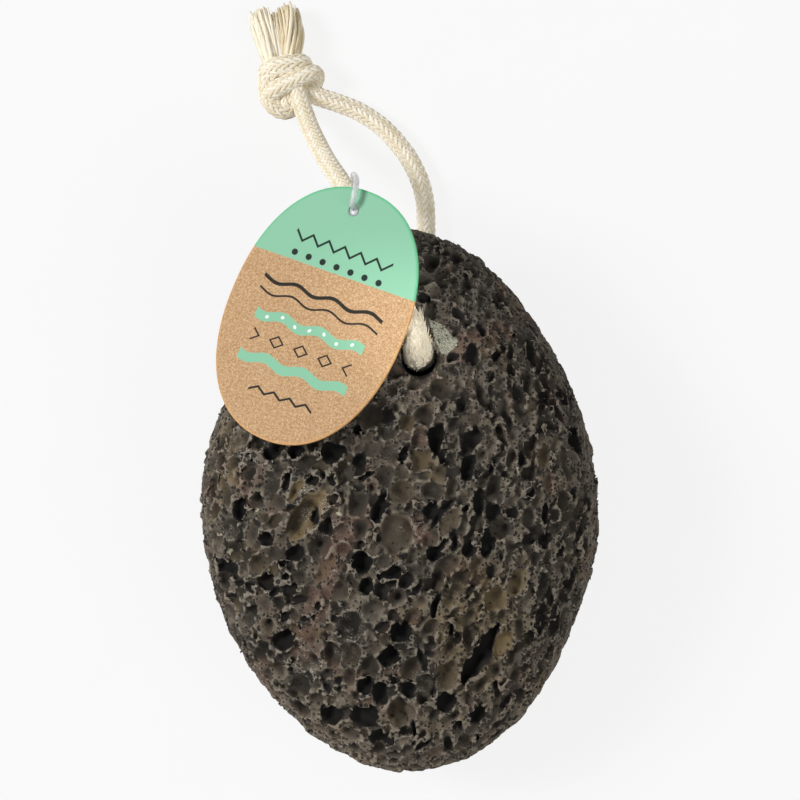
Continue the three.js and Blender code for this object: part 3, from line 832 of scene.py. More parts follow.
def pebble_reach(dx, dy, dz):
    """How far the pebble reaches in a direction: an oval with a domed face and keel, plus swellings."""
    along = dy * np.cos(RIM_LEAN) - dx * np.sin(RIM_LEAN)
    across = dx * np.cos(RIM_LEAN) + dy * np.sin(RIM_LEAN)
    oval = np.hypot(along / (STONE_LENGTH / 2), across / (STONE_WIDTH / 2))
    rise = abs(dz) / np.where(dz > 0, STONE_CROWN, STONE_KEEL)
    reach = (oval**PEBBLE_POWER + rise**PEBBLE_POWER) ** (-1 / PEBBLE_POWER)
    turn = np.arctan2(dy, dx)
    wavy = sum(c * np.cos(n * turn) + s * np.sin(n * turn) for n, c, s in OUTLINE_WAVES)
    reach = reach * (1 + wavy * (dx**2 + dy**2))
    return reach + sum(h * np.sin(kx * dx + ky * dy + kz * dz + phase) for kx, ky, kz, phase, h in SWELLINGS)


def pebble(x, y, z):
    """Distance outside the pebble along the line to its middle; negative inside."""
    up = z - RIM_HEIGHT - RIM_SLOPE * y
    far = np.sqrt(x**2 + y**2 + up**2) + 1e-6
    return far - pebble_reach(x / far, y / far, up / far)


def on_stone(directions):
    """Points of the pebble, or of its worn back, in these directions from its middle."""
    dx, dy, dz = directions.T
    level = -RIM_HEIGHT / np.minimum(dz + RIM_SLOPE * dy, -1e-6)
    reach = np.minimum(pebble_reach(dx, dy, dz), level)
    points = directions * reach[:, None]
    points[:, 2] += RIM_HEIGHT + RIM_SLOPE * points[:, 1]
    return points, np.isclose(reach, level)


def normals_of(points, on_back):
    """Outward directions of the pebble at points, from its field's slope; straight down on the back."""
    step = 0.3
    slope = [
        pebble(*(points + offset).T) - pebble(*(points - offset).T) for offset in step * np.eye(3)
    ]
    return np.where(on_back[:, None], (0.0, 0.0, -1.0), unit(np.stack(slope, -1)))


GRID_STEP = 0.34
low = np.array([-39.5, -53.5, -1.5])
high = np.array([39.5, 53.5, 45.5])
axes = [np.arange(a, b, GRID_STEP, dtype=np.float32) for a, b in zip(low, high)]
X, Y, Z = np.meshgrid(*axes, indexing="ij", sparse=True)
skin = pebble(X, Y, Z).astype(np.float32)
slope = np.sqrt(sum(g**2 for g in np.gradient(skin, GRID_STEP)))
skin = np.maximum(skin / np.maximum(slope, 0.2), -Z)
print("grid:", skin.shape)

# %% [markdown]
# ## Bubbles
#
# The largest black holes and wide bowls of the face are listed one by one, because they are what one knows
# this stone by. All smaller bubbles are thrown at random on the pebble, large ones first, and one is kept
# only where it leaves the others room. That gives the thin walls of a foam, without any pattern.

# %% Marked pits
FACE_PITS = [  # black holes in the face: middle X and Y, length, width, turn in degrees, depth
    (-23.3, 10.3, 4.3, 3.1, 15, 3.0), (-19.2, 10.3, 2.9, 2.5, 0, 2.4), (-12.1, 10.1, 4.6, 3.3, 0, 3.0),
    (-29.8, -1.0, 4.4, 2.9, 80, 2.6), (-24.8, -6.2, 2.8, 2.2, 0, 2.2), (-32.6, -12.0, 4.0, 3.8, 40, 2.8),
    (-19.4, -8.8, 3.1, 2.7, 0, 2.4), (-21.7, -25.2, 5.0, 3.3, 35, 3.0), (-6.6, -10.2, 3.9, 3.7, 0, 3.4),
    (-6.2, -14.8, 3.2, 2.3, 90, 2.6), (-1.0, -12.2, 3.6, 2.6, 10, 2.4), (6.7, -8.7, 3.2, 2.4, 70, 2.6),
    (0.5, -23.3, 3.9, 3.7, 0, 3.2), (-1.7, -27.9, 3.7, 3.6, 0, 3.2), (-6.6, -33.4, 3.1, 3.0, 0, 2.6),
    (-3.4, -35.0, 4.0, 2.8, 90, 2.8), (2.0, -34.2, 3.2, 3.0, 0, 2.6), (-13.1, -39.6, 4.3, 3.9, 0, 3.0),
    (-6.5, -39.8, 5.3, 5.0, 0, 3.2), (-3.1, -44.3, 4.9, 3.7, 0, 2.6), (-15.7, -2.0, 2.4, 1.3, 80, 3.2),
    (4.4, -28.6, 4.4, 1.2, 111, 1.8), (6.9, -33.7, 4.0, 1.2, 69, 1.8), (9.7, -22.9, 3.0, 1.1, 88, 1.6),
    (7.0, -18.0, 5.2, 1.5, 75, 1.8), (2.8, -42.0, 3.4, 1.1, 90, 1.6), (4.7, -45.0, 4.0, 1.2, 62, 1.6),
    (9.0, -36.8, 3.7, 3.3, 0, 2.6), (14.8, -39.6, 4.4, 2.9, 80, 2.4), (15.4, -27.8, 12.2, 3.4, 60, 3.4),
    (16.4, -6.5, 5.4, 2.9, 85, 2.4), (13.2, -8.0, 3.3, 2.7, 60, 2.0), (27.2, -6.6, 3.8, 2.3, 10, 1.8),
    (5.8, -0.8, 3.0, 2.8, 0, 2.2), (-3.6, -0.6, 6.0, 2.2, 65, 2.2), (-7.4, 7.9, 3.9, 2.6, 75, 2.2),
    (6.9, 12.4, 5.0, 3.0, 85, 2.6), (12.8, 7.2, 4.6, 2.4, 78, 2.2), (8.0, -1.2, 7.4, 1.2, 52, 1.9),
    (17.2, 6.7, 2.0, 1.2, 85, 1.5), (15.0, 1.0, 5.0, 1.8, 86, 1.8), (12.5, -0.3, 1.5, 1.2, 40, 1.3),
    (24.4, 2.7, 1.9, 1.2, 95, 1.4), (21.0, -1.3, 1.9, 1.7, 0, 1.5), (27.4, -1.6, 3.8, 1.4, 88, 1.4),
    (10.3, -6.4, 4.6, 1.3, 85, 1.5), (19.7, 5.8, 1.4, 1.2, 0, 1.3), (22.8, 8.7, 3.6, 1.1, 84, 1.4),
    (16.9, 18.8, 3.0, 1.2, 80, 1.5), (11.7, 18.8, 2.6, 1.9, 70, 1.5), (-7.6, 14.1, 2.2, 1.6, 80, 1.8),
    (-15.9, 5.0, 2.0, 1.7, 20, 1.6), (-12.2, 4.6, 1.7, 1.5, 0, 1.2), (-6.0, 5.7, 3.4, 1.2, 20, 1.3),
    (-20.7, 4.6, 3.4, 1.4, 75, 1.4), (-19.9, -0.2, 2.2, 1.7, 40, 1.3), (-29.7, -14.4, 2.5, 1.6, 10, 1.6),
    (-21.4, -10.7, 2.0, 1.3, 20, 1.3), (-20.9, -13.2, 1.7, 1.3, 20, 1.3), (-1.4, -14.4, 2.2, 2.1, 0, 1.6),
    (-3.3, -12.7, 1.5, 1.1, 100, 1.3), (0.1, -7.8, 2.5, 1.2, 20, 1.2), (-3.8, -5.9, 2.2, 1.5, 30, 1.4),
    (-18.7, -17.4, 2.1, 1.5, 10, 1.5), (-21.4, -20.6, 2.0, 1.7, 0, 1.6), (-17.4, -21.0, 1.6, 1.4, 0, 1.3),
    (-23.4, -16.0, 2.4, 1.5, 60, 1.4), (-31.6, -17.1, 2.7, 1.2, 10, 1.4), (0.7, 9.5, 3.0, 1.7, 75, 1.6),
    (3.4, -15.3, 1.8, 1.4, 60, 1.4), (-0.6, -32.2, 1.6, 1.5, 0, 1.3), (-11.1, -32.8, 1.8, 1.6, 0, 1.4),
    (-13.3, -34.2, 1.8, 1.5, 0, 1.4), (11.3, -41.6, 2.6, 1.8, 40, 1.6), (4.7, 38.6, 2.6, 2.3, 0, 1.8),
    (10.0, 27.4, 2.3, 2.0, 30, 1.8), (18.2, 28.0, 2.4, 1.6, 10, 1.4),
]
print("marked pits:", len(FACE_PITS))

# %% Marked bowls
FACE_BOWLS = [  # wide shallow cells: the same, then how tan they are
    (-17.1, -1.6, 12.0, 5.0, 55, 2.6, 1.0), (-0.4, -4.9, 8.6, 7.0, 60, 2.2, 0.1),
    (0.3, 2.5, 5.0, 4.8, 0, 1.8, 0.2), (-8.9, -22.1, 5.8, 5.6, 0, 2.2, 0),
    (-12.6, -27.4, 5.6, 3.8, 90, 2.0, 0), (-9.0, -27.4, 5.6, 3.8, 90, 2.0, 0.1),
    (2.6, -30.3, 5.2, 4.8, 0, 2.0, 0.1), (9.0, -31.8, 7.2, 3.8, 85, 2.2, 0.3),
    (18.2, -17.4, 5.2, 5.0, 0, 2.0, 0.7), (21.9, -14.4, 6.2, 3.8, 75, 1.8, 0.7),
    (24.3, -2.5, 4.6, 3.0, 108, 1.8, 0), (19.2, 13.2, 5.0, 2.2, 115, 2.2, 0.1),
    (21.0, 9.1, 4.4, 2.4, 70, 1.6, 0), (9.6, -2.9, 6.4, 3.4, 60, 0.9, 0.3),
    (19.7, 18.1, 4.2, 2.3, 85, 1.6, 0), (22.6, 17.4, 4.8, 2.4, 88, 1.4, 0),
    (10.0, 11.6, 3.6, 1.9, 85, 1.5, 0), (27.2, 9.4, 4.4, 2.6, 80, 1.6, 0.2),
    (-19.0, 3.1, 5.6, 1.9, 60, 1.0, 1.0), (-25.4, -1.9, 3.2, 3.0, 40, 1.2, 0.1),
    (-22.6, 0.6, 4.2, 2.6, 40, 1.2, 0), (-13.4, -11.4, 7.4, 2.4, 62, 1.1, 0.3),
    (19.6, -26.0, 6.0, 4.0, 60, 1.8, 1.0), (0.3, -38.9, 6.6, 5.4, 100, 3.0, 0.15),
    (4.2, 8.6, 4.6, 3.6, 70, 1.4, 0.5), (9.9, 3.4, 5.0, 2.6, 70, 1.4, 0.1),
    (-24.6, -22.6, 4.2, 3.4, 60, 1.5, 0.2),
]
print("marked bowls:", len(FACE_BOWLS))

# %% Chip and crystals
# A pale stone is caught in the stone beside the hole. Its corners are seen from above.
CHIP = [(5.6, 34.6), (8.2, 33.5), (11.0, 30.3), (10.4, 29.2), (8.2, 27.6), (7.1, 29.8)]
CHIP_LOWEST = 30.0
CRYSTALS = [  # pale crystals in the glass: middle X and Y, length, width, turn in degrees
    (-10.6, -0.7, 3.6, 1.4, 80), (-27.4, -5.6, 0.9, 0.8, 0), (-33.5, -5.5, 1.4, 0.9, 40),
    (-31.8, -8.6, 1.4, 1.0, 0), (-26.2, -0.7, 1.0, 0.8, 0), (26.9, -12.0, 2.8, 1.1, -25),
    (22.3, 6.7, 1.5, 0.9, 0), (30.2, 4.9, 0.9, 0.9, 0),
]
CRYSTALS_LOWEST = 15.0


def chip_depth(points):
    """Distance inside the chip's outline seen from above, negative outside it and below the face."""
    corners = np.array(CHIP)
    sides = np.roll(corners, -1, 0) - corners
    inward = unit(np.stack([sides[:, 1], -sides[:, 0]], -1))
    inside = ((points[:, None, :2] - corners) * inward).sum(-1).min(1)
    return np.where(points[:, 2] > CHIP_LOWEST, inside, -9.0)


def crystal_share(points):
    """1 at the middle of each crystal seen from above, falling to 0 at its elliptic edge."""
    middle_x, middle_y, length, width, turn = np.array(CRYSTALS).T
    across, up = points[:, :1] - middle_x, points[:, 1:2] - middle_y
    cos, sin = np.cos(np.radians(turn)), np.sin(np.radians(turn))
    far = np.hypot((across * cos + up * sin) * 2 / length, (up * cos - across * sin) * 2 / width)
    return np.where(points[:, 2] > CRYSTALS_LOWEST, np.maximum(0, 1 - far.min(1)), 0)


# %% Scatter the bubbles
BUBBLE_CLASSES = [  # tries, smallest and largest opening, least gap between middles in radii, lowest Z
    (7000, 1.4, 2.4, 0.92, -1), (24000, 0.9, 1.4, 0.9, -1), (36000, 0.55, 0.9, 0.88, 12),
    (60000, 0.36, 0.55, 0.84, 22),
]
FINER_FROM, FINER_TO, FINEST = 4, 26, 0.66  # bubbles get smaller towards the upper right
GUARD_STEPS = (0, -0.5, -0.25, 0.25, 0.5)  # along a marked bubble, where no other may come
stone_random = np.random.default_rng(5)


def face_points(xy):
    """Points of the face seen from above at X, Y: a few steps of sliding up or down to the pebble."""
    x, y = xy.T
    z = np.full(len(xy), RIM_HEIGHT + STONE_CROWN)
    for _ in range(12):
        z = z - pebble(x, y, z)
    return np.stack([x, y, z], -1)


def packed(middles, sizes, gap, points, radii):
    """Adds each (point, radius) that keeps gap times the sum of both radii from all that came before."""
    room = np.zeros((len(middles) + len(points), 4))
    room[: len(middles)] = np.column_stack([middles, sizes])
    used = len(middles)
    for point, radius in zip(points, radii):
        apart = np.linalg.norm(room[:used, :3] - point, axis=1)
        if (apart > gap * (room[:used, 3] + radius)).all():
            room[used] = (*point, radius)
            used += 1
    return room[:used, :3], room[:used, 3]


pits, bowls = np.array(FACE_PITS), np.array(FACE_BOWLS)
marked = np.concatenate([pits, bowls[:, :6]])
marked_points = face_points(marked[:, :2])
turn = np.radians(marked[:, 4])
marked_way = np.stack([np.cos(turn), np.sin(turn)], -1) * (marked[:, 2] - marked[:, 3])[:, None]
guards = np.concatenate([face_points(marked[:, :2] + step * marked_way) for step in GUARD_STEPS])
middles, sizes = guards, np.tile(marked[:, 3] / 2, len(GUARD_STEPS))
for tries, smallest, largest, gap, lowest in BUBBLE_CLASSES:
    spots, _ = on_stone(unit(stone_random.normal(size=(tries, 3))))
    towards = spots[:, 0] + 0.3 * np.maximum(spots[:, 1], 0)
    finer = np.interp(towards, (FINER_FROM, FINER_TO), (1.0, FINEST))
    wanted = stone_random.uniform(smallest, largest, tries) * finer
    free = (spots[:, 2] > lowest) & (chip_depth(spots) < -0.7 * wanted)
    middles, sizes = packed(middles, sizes, gap, spots[free], wanted[free])
middles = np.concatenate([marked_points, middles[len(guards) :]])
sizes = np.concatenate([marked[:, 3] / 2, sizes[len(guards) :]])
print("bubbles:", len(middles))

# %% [markdown]
# ## Carving
#
# A bubble is an ellipsoid, drawn out along the way that the lava flowed and bent a little by random ripples.
# Its field is the distance inside it, and the stone keeps the larger of its own field and the bubble's. Only
# the few grid points round a bubble change, so thousands of them are quick. A bubble that sits deep is a hole
# with overhanging edges, and one that sits high is a shallow bowl.


# %% Flow of the lava
FLOW = ((-30, 5, 30), (50, 62, 80))  # X, and the flow's angle there in degrees


def flow(points):
    """Direction along which the bubbles were drawn out: steep on the right, more slanting on the left."""
    angle = np.radians(np.interp(points[:, 0], *FLOW))
    return np.stack([np.cos(angle), np.sin(angle), 0 * angle], -1)


def tangent_frame(normal, along):
    """Axes of a bubble on the surface: along and across in the surface, then the normal."""
    along = along - normal * (along * normal).sum(-1, keepdims=True)
    along = unit(along + 1e-6)
    return np.stack([along, np.cross(normal, along), normal], 1)


# %% Ripples
WARP_LENGTH = 2.6  # how far apart the bends of the bubbles' walls are
WARP_HEIGHT = 0.3
WARP_REACH = 1.2  # no bend moves a wall further than this


def ripple_field(seed, length, waves=5):
    """A smooth random field over the grid: a sum of sine waves in random directions."""
    rng = np.random.default_rng(seed)
    total = np.zeros(skin.shape, np.float32)
    for _ in range(waves):
        kx, ky, kz = unit(rng.normal(size=3)) * 2 * np.pi / (length * rng.uniform(0.7, 1.4))
        phase = np.float32(rng.uniform(0, 6.28))
        total += np.sin(np.float32(kx) * X + np.float32(ky) * Y + np.float32(kz) * Z + phase)
    return total / np.sqrt(waves)


warp = [WARP_HEIGHT * ripple_field(60 + i, WARP_LENGTH) for i in range(3)]
print("walls bend by", max(round(float(abs(w).max()), 2) for w in warp), "mm at most")


# %% One bubble
def carve(field, owner, middle, frame_axes, half_sizes, mark):
    """Takes one ellipsoid out of the field, inside the small window of the grid that it reaches."""
    reach = half_sizes.max() + WARP_REACH
    first = np.maximum(((middle - reach - low) / GRID_STEP).astype(int), 0)
    last = ((middle + reach - low) / GRID_STEP).astype(int) + 1
    window = tuple(slice(a, b) for a, b in zip(first, last))
    away = [
        (axes[0][window[0]] - middle[0])[:, None, None] + warp[0][window],
        (axes[1][window[1]] - middle[1])[None, :, None] + warp[1][window],
        (axes[2][window[2]] - middle[2])[None, None, :] + warp[2][window],
    ]
    rows = frame_axes / half_sizes[:, None]
    scaled = np.sqrt(sum((r[0] * away[0] + r[1] * away[1] + r[2] * away[2]) ** 2 for r in rows)) + 1e-6
    far = np.sqrt(away[0] ** 2 + away[1] ** 2 + away[2] ** 2)
    gone = (1 - scaled) * far / scaled
    deeper = gone > field[window]
    field[window] = np.where(deeper, gone, field[window])
    owner[window] = np.where(deeper, mark, owner[window])


# %% All bubbles
# sunk is how far a bubble's middle lies above the skin, in its own half heights.
FLOW_SCATTER = 0.35
PIT_SUNK, BOWL_SUNK = -0.4, 0.15
DEEP_SUNK, HIGH_SUNK = (-0.6, -0.2), (-0.05, 0.38)  # of the scattered bubbles
DRAWN_OUT = ((0, 20), (0.6, 2.6))  # X, and how far bubbles are drawn out there
SMALL_DEEP = 0.5  # share of the smallest bubbles that are deep
LARGER_DEEP = ((0, 12), (0.16, 0.36))  # X, and the share of the larger ones there
LARGER = ((0.6, 1.4), (0, 1))  # opening, and how far it counts as a larger one
STEEP = 0.45  # where the skin faces up or down less than this, bubbles are shallow,
STEEP_SUNK = 0.25  # so that the outline of the stone has no thin hooks

count = len(middles)
normals = normals_of(middles, middles[:, 2] < 0.01)
along = flow(middles) + FLOW_SCATTER * stone_random.normal(size=(count, 3))
along[: len(marked)] = np.column_stack([np.cos(turn), np.sin(turn), 0 * turn])
bubble_frames = tangent_frame(normals, along)
stretch = 1 + stone_random.uniform(0, 0.5, count) * np.interp(middles[:, 0], *DRAWN_OUT)
less_deep = (np.interp(middles[:, 0], *LARGER_DEEP) - SMALL_DEEP) * np.interp(sizes, *LARGER)
deep = stone_random.random(count) < SMALL_DEEP + less_deep
sunk = np.where(deep, stone_random.uniform(*DEEP_SUNK, count), stone_random.uniform(*HIGH_SUNK, count))
sunk = np.where(abs(normals[:, 2]) < STEEP, np.maximum(sunk, STEEP_SUNK), sunk)
sunk[: len(marked)] = np.where(np.arange(len(marked)) < len(pits), PIT_SUNK, BOWL_SUNK)
opening = sizes[:, None] * np.stack([stretch, 1 / np.sqrt(stretch)], -1)
opening[: len(marked)] = marked[:, 2:4] / 2
thickness = sizes * stone_random.uniform(0.8, 1.1, count)
thickness[: len(marked)] = marked[:, 5] / (1 - sunk[: len(marked)])
half_sizes = np.column_stack([opening / np.sqrt(1 - sunk[:, None] ** 2), thickness])
bubble_middles = middles + normals * (sunk * thickness)[:, None]

print("deep bubbles:", int((sunk < 0).sum()), "of", count)

# %% Carve the field
SKIN_RIPPLE, SKIN_RIPPLE_LENGTH = 0.2, 5.0
GRIT, GRIT_LENGTH = 0.08, 1.1  # fine roughness of all walls
GRIT_FROM, GRIT_RISE, LEAST_GRIT = 8, 12, 0.3  # it grows with height: less on the sides and back

stone_field = skin + SKIN_RIPPLE * ripple_field(71, SKIN_RIPPLE_LENGTH, 7)
owner = np.full(skin.shape, -1, np.int32)
for i in range(count):
    carve(stone_field, owner, bubble_middles[i], bubble_frames[i], half_sizes[i], i)
roughness = GRIT * ripple_field(70, GRIT_LENGTH, 7) * np.clip((Z - GRIT_FROM) / GRIT_RISE, LEAST_GRIT, 1)
stone_field += roughness
print("grid points in bubbles:", int((owner >= 0).sum()))

# %% Drill the hole
HOLE_RADIUS = 3.3
HOLE_FACE, HOLE_BACK = np.array([3.8, 27.2, 43.3]), np.array([4.0, 28.6, 0.0])
HOLE_WALL = 0.4  # rock this close to the hole counts as its wall

drill = unit(HOLE_FACE - HOLE_BACK)
beside = [X - HOLE_BACK[0], Y - HOLE_BACK[1], Z - HOLE_BACK[2]]
along_drill = sum(b * d for b, d in zip(beside, drill))
bore = np.sqrt(sum((b - along_drill * d) ** 2 for b, d in zip(beside, drill))).astype(np.float32)
owner[bore < HOLE_RADIUS + HOLE_WALL] = count
stone_field = np.maximum(stone_field, HOLE_RADIUS - bore + roughness)
print(f"hole drilled, {np.linalg.norm(HOLE_FACE - HOLE_BACK):.1f} mm long")

# %% [markdown]
# ## Surface of the field
#
# The field says inside or outside at every grid point, and the mesh has to run between. Marching cubes would
# do, but a surface net is shorter and its quads are more even: one point in each cell that the surface
# crosses, and one quad round each grid edge that it crosses.


# %% Surface net
def surface_net(field):
    """Points and quads of the zero surface.

    Every grid cell that the surface crosses gets one point, the mean of the crossings on its edges, and
    every grid edge that it crosses gets one quad between the four cells round it."""
    inside = field < 0
    corner_offsets = np.array([(i, j, k) for i in (0, 1) for j in (0, 1) for k in (0, 1)])
    nx, ny, nz = np.array(field.shape) - 1
    full = sum(inside[i : nx + i, j : ny + j, k : nz + k].astype(np.int8) for i, j, k in corner_offsets)
    cells = np.argwhere((full > 0) & (full < 8))
    number = np.full((nx, ny, nz), -1, np.int32)
    number[tuple(cells.T)] = np.arange(len(cells))
    total = np.zeros((len(cells), 3))
    crossings = np.zeros(len(cells))
    steps = np.eye(3, dtype=int)
    for a in corner_offsets:
        for step in steps[a == 0]:
            at_a = field[tuple((cells + a).T)]
            at_b = field[tuple((cells + a + step).T)]
            crossed = (at_a < 0) != (at_b < 0)
            share = at_a[crossed] / (at_a[crossed] - at_b[crossed])
            total[crossed] += a + share[:, None] * step
            crossings += crossed
    points = cells + total / crossings[:, None]
    quads = []
    for axis in range(3):
        side, other = steps[(axis + 1) % 3], steps[(axis + 2) % 3]
        before = inside[tuple(slice(None, -1) if i == axis else slice(1, -1) for i in range(3))]
        after = inside[tuple(slice(1, None) if i == axis else slice(1, -1) for i in range(3))]
        edges = np.argwhere(before != after) + side + other
        outward = inside[tuple(edges.T)]
        corners = [edges - s * side - o * other for s, o in ((1, 1), (0, 1), (0, 0), (1, 0))]
        around = np.stack([number[tuple(c.T)] for c in corners], -1)
        quads.append(np.where(outward[:, None], around, around[:, ::-1]))
    return points, np.concatenate(quads)


# %% Keep one surface
def largest_part(points, quads):
    """Only the biggest connected surface, so no closed bubble or loose crumb is left."""
    label = np.arange(len(points))
    ends = np.concatenate([quads[:, [0, 1]], quads[:, [1, 2]], quads[:, [2, 3]]])
    while True:
        lower = label[ends].min(1)
        new = label.copy()
        np.minimum.at(new, ends[:, 0], lower)
        np.minimum.at(new, ends[:, 1], lower)
        new = new[new]
        if (new == label).all():
            break
        label = new
    kept = label == np.bincount(label).argmax()
    renumber = np.cumsum(kept) - 1
    return points[kept], renumber[quads[kept[quads[:, 0]]]]


net_points, net_quads = largest_part(*surface_net(stone_field))
net_points = low + net_points * GRID_STEP
print("stone surface:", len(net_points), "points,", 2 * len(net_quads), "triangles")

# %% [markdown]
# ## Fewer triangles
#
# The net has one size of quad everywhere. A Decimate modifier takes out points where the surface is nearly
# flat, and a vertex group makes it spare the face, where the eye is. The grid then tells each point what the
# finish needs: how much rock is close by, how sheltered it is, how deep, and in which bubble.

# %% Thin the mesh
STONE_TRIANGLES = 198_000
FACE_FROM = 20.0  # the face, above this height, keeps more of them
FACE_WEIGHT = 0.05


def thinned(points, quads, triangles):
    """The same surface with fewer triangles, most of them kept where it bends, by a Decimate modifier.

    Where a thin wall folds flat, its two triangles share all corners and are left out."""
    mesh = bpy.data.meshes.new("net")
    mesh.from_pydata(points, [], quads.tolist())
    helper = bpy.data.objects.new("net", mesh)
    bpy.context.scene.collection.objects.link(helper)
    thin = helper.modifiers.new("thin", "DECIMATE")
    thin.ratio = min(1.0, triangles / (2 * len(quads)))
    thin.use_collapse_triangulate = True
    face = helper.vertex_groups.new(name="thin_more")
    on_face = points[:, 2] >= FACE_FROM
    face.add(np.argwhere(~on_face).ravel().tolist(), 1.0, "REPLACE")
    face.add(np.argwhere(on_face).ravel().tolist(), 0.5, "REPLACE")
    thin.vertex_group = face.name
    thin.vertex_group_factor = FACE_WEIGHT
    result = helper.evaluated_get(bpy.context.evaluated_depsgraph_get()).to_mesh()
    found = np.empty(len(result.vertices) * 3, np.float32)
    result.vertices.foreach_get("co", found)
    corners = np.empty(len(result.loops), np.int32)
    result.loops.foreach_get("vertex_index", corners)
    bpy.data.objects.remove(helper)
    bpy.data.meshes.remove(mesh)
    corners = corners.reshape(-1, 3)
    _, same, copies = np.unique(np.sort(corners, 1), axis=0, return_inverse=True, return_counts=True)
    return found.reshape(-1, 3).astype(float), corners[copies[same.ravel()] == 1]


stone_points, stone_triangles = thinned(net_points, net_quads, STONE_TRIANGLES)
face_shares = [(points[:, 2] > FACE_FROM).mean().round(2) for points in (net_points, stone_points)]
print("share of points on the face, before and after:", face_shares)


# %% Blur and read the grid
def blurred(grid, radius):
    """Mean of the grid over a cube of radius cells, by running sums along each axis."""
    window = 2 * radius + 1
    for axis in range(3):
        length = grid.shape[axis]
        before = np.repeat(grid.take([0], axis), radius + 1, axis)
        after = np.repeat(grid.take([-1], axis), radius, axis)
        run = np.cumsum(np.concatenate([before, grid, after], axis), axis, dtype=np.float64)
        grid = (run.take(range(window, window + length), axis) - run.take(range(length), axis)) / window
    return grid.astype(np.float32)


def sampled(grid, points):
    """Values of a grid at points, mixed from the eight corners of each point's cell."""
    at = (points - low) / GRID_STEP
    first = np.clip(at.astype(int), 0, np.array(grid.shape) - 2)
    share = at - first
    total = np.zeros(len(points))
    for corner in np.ndindex(2, 2, 2):
        weight = np.prod(np.where(corner, share, 1 - share), axis=1)
        total += weight * grid[tuple((first + corner).T)]
    return total


# %% Measure the surface
solid = np.clip(0.5 - stone_field / GRID_STEP, 0, 1)
close_by = blurred(solid, 2)
rim = sampled(close_by, stone_points)
shelter = sampled(blurred(blurred(close_by, 4), 3), stone_points)
depth = -sampled(skin, stone_points)
bubble = owner[tuple(np.rint((stone_points - low) / GRID_STEP).astype(int).T)]

for label, values in (("rim", rim), ("shelter", shelter), ("depth", depth)):
    print(label, np.percentile(values, [2, 10, 25, 50, 75, 90, 98]).round(2))


# %% Values for each bubble
# One value a bubble, then one for the drilled hole and, as index -1, one for the worn skin.
BLACK_BELOW = 1.5  # openings of deep bubbles that are black
TAN_SHARE = 0.03

tones = np.concatenate([stone_random.random(count), [0.2, 0.5]])
# Painted shade: deep small bubbles, the marked pits and the drilled hole are painted black, as light doesn't
# reach into them.
painted_blackness = np.where(deep & (sizes < BLACK_BELOW), stone_random.uniform(0.4, 1.0, count), 0.0)
painted_blackness[: len(marked)] = np.arange(len(marked)) < len(pits)
painted_blackness = np.concatenate([painted_blackness, [0.9, 0.0]])
tans = np.where(stone_random.random(count) < TAN_SHARE, stone_random.uniform(0.2, 0.6, count), 0.0)
tans[: len(marked)] = np.concatenate([np.zeros(len(pits)), bowls[:, 6]])
tans = np.concatenate([tans, [0.0, 0.0]])
print("black bubbles:", int((painted_blackness > 0).sum()), "tan bubbles:", int((tans > 0).sum()))

# %% [markdown]
# ## Stone finish
#
# The rock is a dark grey-brown glass. Worn edges are paler where the glass is crushed, more so on the left
# as painted highlight. Deep and sheltered places get painted shade, deep cells are painted nearly black as
# shade, and single cells are rust brown or tan. A plain noise can't know where an edge or a pit is, so the
# mesh carries what the grid knows: rim and shelter, the share of rock close by and further round; depth
# under the pebble's skin; tone, black and tan, one value a bubble; and the places of the chip and crystals.

# %% Stone colours
# Painted light among these: upper right, deep walls, sheltered walls, black pits and the shade in a bowl are
# painted shade; sparks are painted glints; worn rims and crystals are partly painted highlight.
STONE_COLOURS = {
    "dark glass": (48, 43, 36), "pale glass": (122, 112, 98), "grey patches": (90, 81, 69),
    "rust patches": (106, 79, 66), "ochre patches": (116, 100, 72), "low end": (118, 106, 90),
    "upper right": (44, 40, 35), "right side": (134, 123, 106), "painted shade deep down": (32, 29, 24),
    "painted shade in shelter": (28, 25, 21), "rust streak": (112, 82, 70), "tan bowls": (122, 104, 74),
    "shade in a bowl": (40, 34, 25), "worn and highlit rims": (142, 133, 119), "painted glints": (222, 218, 206),
    "crystals and glints": (186, 178, 156), "painted black shade": (13, 12, 11), "chip, dark": (112, 112, 97),
    "chip, pale": (182, 182, 162), "chip, dots": (52, 50, 42),
}


def stone_layers(f, colour, *layers):
    """Lays each (share, name of a stone colour) over a colour."""
    return f.layers(colour, *((share, rgb(*STONE_COLOURS[name])) for share, name in layers))


print("stone colours:", len(STONE_COLOURS))

# %% [markdown]
# ## Fine pores
#
# Between the bubbles the glass is full of pores too small for the grid. A Voronoi texture cuts space into
# random cells. The cells whose random colour is high enough hold a pore: a disc of painted shade round the
# cell's middle, sunk by the bump, with a pale ring round it that is partly wear and partly painted highlight.

# %% Fine pores
SMALL_PORES, LARGE_PORES = 1.5, 0.9  # cells in a millimetre


def fine_pores(f, bent, x, y, depth, worn_skin):
    """Shares of pores, dark as painted shade, and of their pale rings, wear and painted highlight. There are
    more small pores towards the upper right.
    """
    near_skin = depth.rise(1.0, 0.4)
    finer = (x + y * 0.3).rise(2, 24)
    pick = f.part(f.cells(bent, SMALL_PORES, "Color"), 0)
    large_pick = f.part(f.cells(bent, LARGE_PORES, "Color"), 1)
    small = ((pick + finer * 0.2).rise(0.6, 0.66) * near_skin).most(pick.rise(0.95, 0.97) * 0.8)
    large = large_pick.rise(0.4, 0.46) * worn_skin
    small_far, large_far = f.cells(bent, SMALL_PORES), f.cells(bent, LARGE_PORES)
    pore = (small_far.rise(0.5, 0.38) * small).most(large_far.rise(0.46, 0.36) * large)
    ring = (small_far.rise(0.62, 0.54) * small).most(large_far.rise(0.55, 0.49) * large)
    return pore, ring * near_skin


